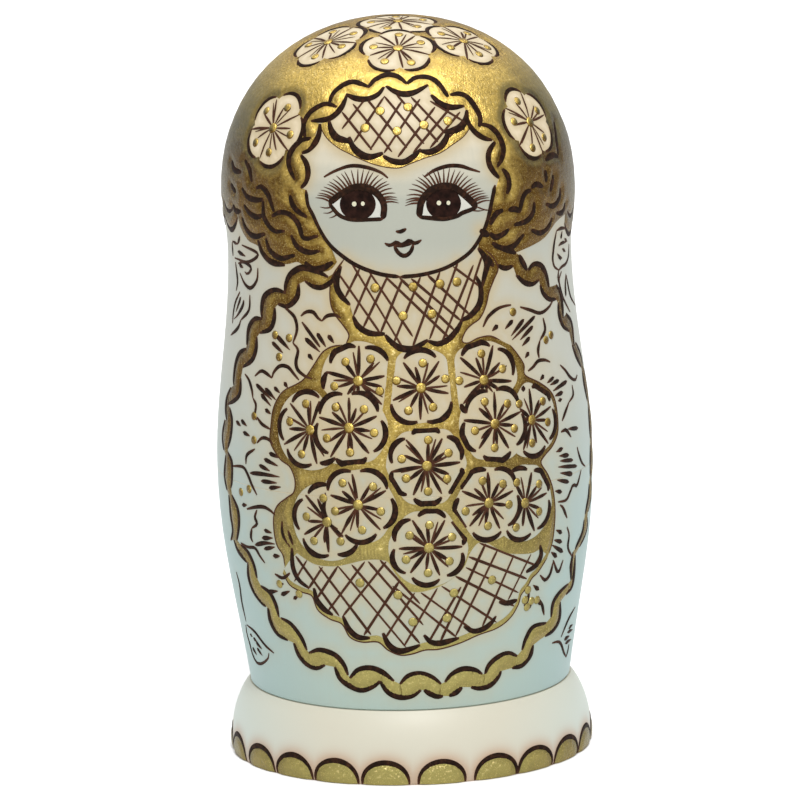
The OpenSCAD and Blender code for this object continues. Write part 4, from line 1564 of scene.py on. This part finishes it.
def sheet_of(loops, covers, skin, step, spread, gather):
    """Triangles on the map where a rule covers a skin; spread lays the map out flat, and gather undoes it."""
    points, edges = [], []
    for loop in loops:
        start = len(points)
        points += [Vector(p) for p in spread(loop)]
        count = len(points) - start
        edges += [(start + i, start + (i + 1) % count) for i in range(count)]
    grid = []
    for n, s in enumerate(np.arange(step, skin.s[-1], step)):
        count = max(6, math.ceil(math.tau * skin.radius(s) / step))
        theta = (np.arange(count) + 0.5 * (n % 2)) / count * math.tau - math.pi
        grid.append(np.column_stack([theta, np.full(count, s)]))
    grid = spread(np.vstack(grid))
    points += [Vector(p) for p in grid[covers(grid)]]
    found, _, faces, *_ = delaunay_2d_cdt(points, edges, [], 0, TINY)
    found = np.array([tuple(p) for p in found])
    faces = np.array([face for face in faces if len(face) == 3])
    middles = found[faces].mean(axis=1)
    inside = covers(middles)
    return gather(found), faces[inside], gather(middles)[inside]


def shell_piece(name, charts, faces, skin, body, finish, lift, sink, place):
    """A thin closed sheet over some triangles of the map; its lift is a height or a rule for one."""
    used, faces = np.unique(faces, return_inverse=True)
    faces = faces.reshape(-1, 3)
    charts = charts[used]
    seen = {}
    for a, b, c in faces:
        for edge in ((a, b), (b, c), (c, a)):
            seen[edge] = True
    rim = [edge for edge in seen if edge[::-1] not in seen]
    bumps = lift(charts) if callable(lift) else lift
    points = np.vstack([place(skin.place(charts, bumps)), place(skin.place(charts, -sink))])
    count = len(charts)
    polygons = [tuple(f) for f in faces] + [tuple(count + f[::-1]) for f in faces]
    polygons += [(b, a, count + a, count + b) for a, b in rim]
    mesh = bpy.data.meshes.new(name)
    mesh.from_pydata(points.tolist(), [], polygons)
    mesh.polygons.foreach_set("use_smooth", np.ones(len(polygons), bool))
    mesh.set_sharp_from_angle(angle=EDGE_FOLD)
    mesh.materials.append(finishes[finish])
    if callable(lift):
        store(mesh, "crest", np.tile((bumps - bumps.min()) / np.ptp(bumps) * 2 - 1, 2))
    piece = show(name, mesh)
    face_out(piece)
    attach(piece, body)
    return piece


def gilded(points):
    """Which flat points of the doll are gold."""
    gold = np.zeros(len(points), bool)
    for loop in gold_loops:
        gold |= within(points, flat(loop))
    for loop in wood_loops:
        gold &= ~within(points, flat(loop))
    return gold


def swelling(skin, paths):
    """A height that is low along some paths and swells between them."""
    tree = search_tree(paths, skin, 4)

    def height(charts):
        away = np.array([tree.find(point)[2] for point in skin.place(charts)])
        beside = np.maximum(away - GROOVE, 0) / SWELL_REACH
        return (LOW_GOLD + SWELL * (1 - np.exp(-(beside**2)))) * MM

    return height


drawn_paths = [path for skin, path, half, rank in strokes if skin is DOLL]
outer_height = swelling(DOLL, drawn_paths + gold_loops + wood_loops)
seam_ring = np.column_stack([np.linspace(-math.pi, math.pi, 181)[:-1], np.full(180, SEAM)])
sheets = {}
for kind, every, step in (("fine", 1, 1.1 * MM), ("coarse", 2, 4.4 * MM)):
    loops = [loop[::every] for loop in gold_loops + wood_loops] + [seam_ring]
    sheets[kind] = sheet_of(loops, gilded, DOLL, step, flat, unflat)
covered = 0
for doll in dolls:
    charts, faces, middles = sheets["fine" if doll.number == 0 else "coarse"]
    lift = outer_height if doll.number == 0 else doll.film(INNER_SHEET)
    for is_top, title, body in doll.parts():
        chosen = faces[(middles[:, 1] < SEAM) == is_top]
        piece = shell_piece(title + ".gold", charts, chosen, DOLL, body, "gold", lift, SHEET_SINK,
                            doll.shrink)
        covered += len(piece.data.polygons)
print(f"{covered} faces of gold sheet")

# %% [markdown]
# ## Drops, scallops and eyes
# The drops of gold come from their own tree. The eyes are three thin sheets of paint, one over another: the
# pale opening, the iris and its lights. The scallops of the pedestal are sheets of gold like those on the
# doll, on a map that is unrolled, not pressed flat.

# %% Set the drops, the scallops and the eyes
EYE_LAYERS = [("white", 0.03, 1.2 * MM), ("iris", 0.07, 1.2 * MM), ("light", 0.15, 0.5 * MM)]
EYE_SINK = 0.08 * MM
SCALLOP_STEP = 1.2 * MM


def drop_piece(name, spots, body, doll):
    """One piece of gold drops from (place on the map, radius)."""
    charts = np.array([chart for chart, radius in spots])
    mesh = bpy.data.meshes.new(name + " spots")
    mesh.from_pydata(doll.shrink(DOLL.place(charts)).tolist(), [], [])
    store(mesh, "lean", DOLL.outward(charts), "FLOAT_VECTOR")
    store(mesh, "half", [radius * doll.scale for chart, radius in spots])
    piece = grow(name, trees["drops"], mesh, Finish=finishes["gold"])
    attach(piece, body)


def covers_any(loops, spread):
    """A rule for flat points: whether they lie in any of some loops."""
    return lambda points: np.any([within(points, spread(loop)) for loop in loops], axis=0)


def unroll(chart):
    """The map of the pedestal, spread out as a strip."""
    return np.asarray(chart) * (PEDESTAL.r.max(), 1.0)


def roll(points):
    """From the strip back to the map."""
    return points / (PEDESTAL.r.max(), 1.0)


for doll in dolls:
    finest = MIDDLING if doll.scale > MIDDLING_FROM else MAIN
    worn = [(chart, radius) for chart, radius, rank in drops if rank <= finest]
    for is_top, title, body in doll.parts():
        spots = [(chart, radius) for chart, radius in worn if (chart[1] < SEAM) == is_top]
        drop_piece(title + ".drops", spots, body, doll)
for part, lift, step in EYE_LAYERS:
    loops = eye_parts[part]
    charts, faces, _ = sheet_of(loops, covers_any(loops, flat), DOLL, step, flat, unflat)
    for doll in dolls:
        shell_piece(f"{doll.name}_eye.{part}", charts, faces, DOLL, doll.top_body, part, doll.film(lift),
                    EYE_SINK, doll.shrink)
scalloped = covers_any(pedestal_arcs, unroll)
charts, faces, _ = sheet_of(pedestal_arcs, scalloped, PEDESTAL, SCALLOP_STEP, unroll, roll)
shell_piece("pedestal.gold", charts, faces, PEDESTAL, "outer_bottom", "gold",
            swelling(PEDESTAL, pedestal_arcs), SHEET_SINK, np.asarray)

# %% [markdown]
# ## The studio
# A plain pale floor runs far behind the doll, so that it is also the background. A large soft light hangs
# above and in front, a broader one shines on the floor behind, which keeps the background white, and an
# even sky fills the shadows.

# %% Light it
SKY = 0.62
floor_mesh = bpy.data.meshes.new("floor")
floor_mesh.from_pydata([(-20, -6, 0), (20, -6, 0), (20, 34, 0), (-20, 34, 0)], [], [(0, 1, 2, 3)])
paper = Shader("paper").set(Base_Color=(0.93, 0.93, 0.93, 1), Roughness=0.9, Specular_IOR_Level=0.0)
floor_mesh.materials.append(paper)
floor = show("floor", floor_mesh)

world = bpy.data.worlds.new("sky")
bpy.context.scene.world = world
world.use_nodes = True
sky = world.node_tree.nodes["Background"].inputs
sky["Color"].default_value = (1, 1, 1, 1)
sky["Strength"].default_value = SKY


def softbox(name, place, target, size, power):
    """A square light at a place, turned to a target."""
    lamp = bpy.data.lights.new(name, "AREA")
    lamp.shape, lamp.size, lamp.energy = "SQUARE", size, power
    thing = show(name, lamp)
    thing.location = place
    thing.rotation_euler = (Vector(target) - Vector(place)).to_track_quat("-Z", "Y").to_euler()


softbox("key", (0.2, -2.0, 3.0), (0, 0, 0.1), 1.1, 105)
softbox("back", (0, 2.2, 3.2), (0, 1.6, 0), 3.0, 80)
bpy.context.scene.view_settings.view_transform = "Standard"
print("a floor, a sky and two lights")
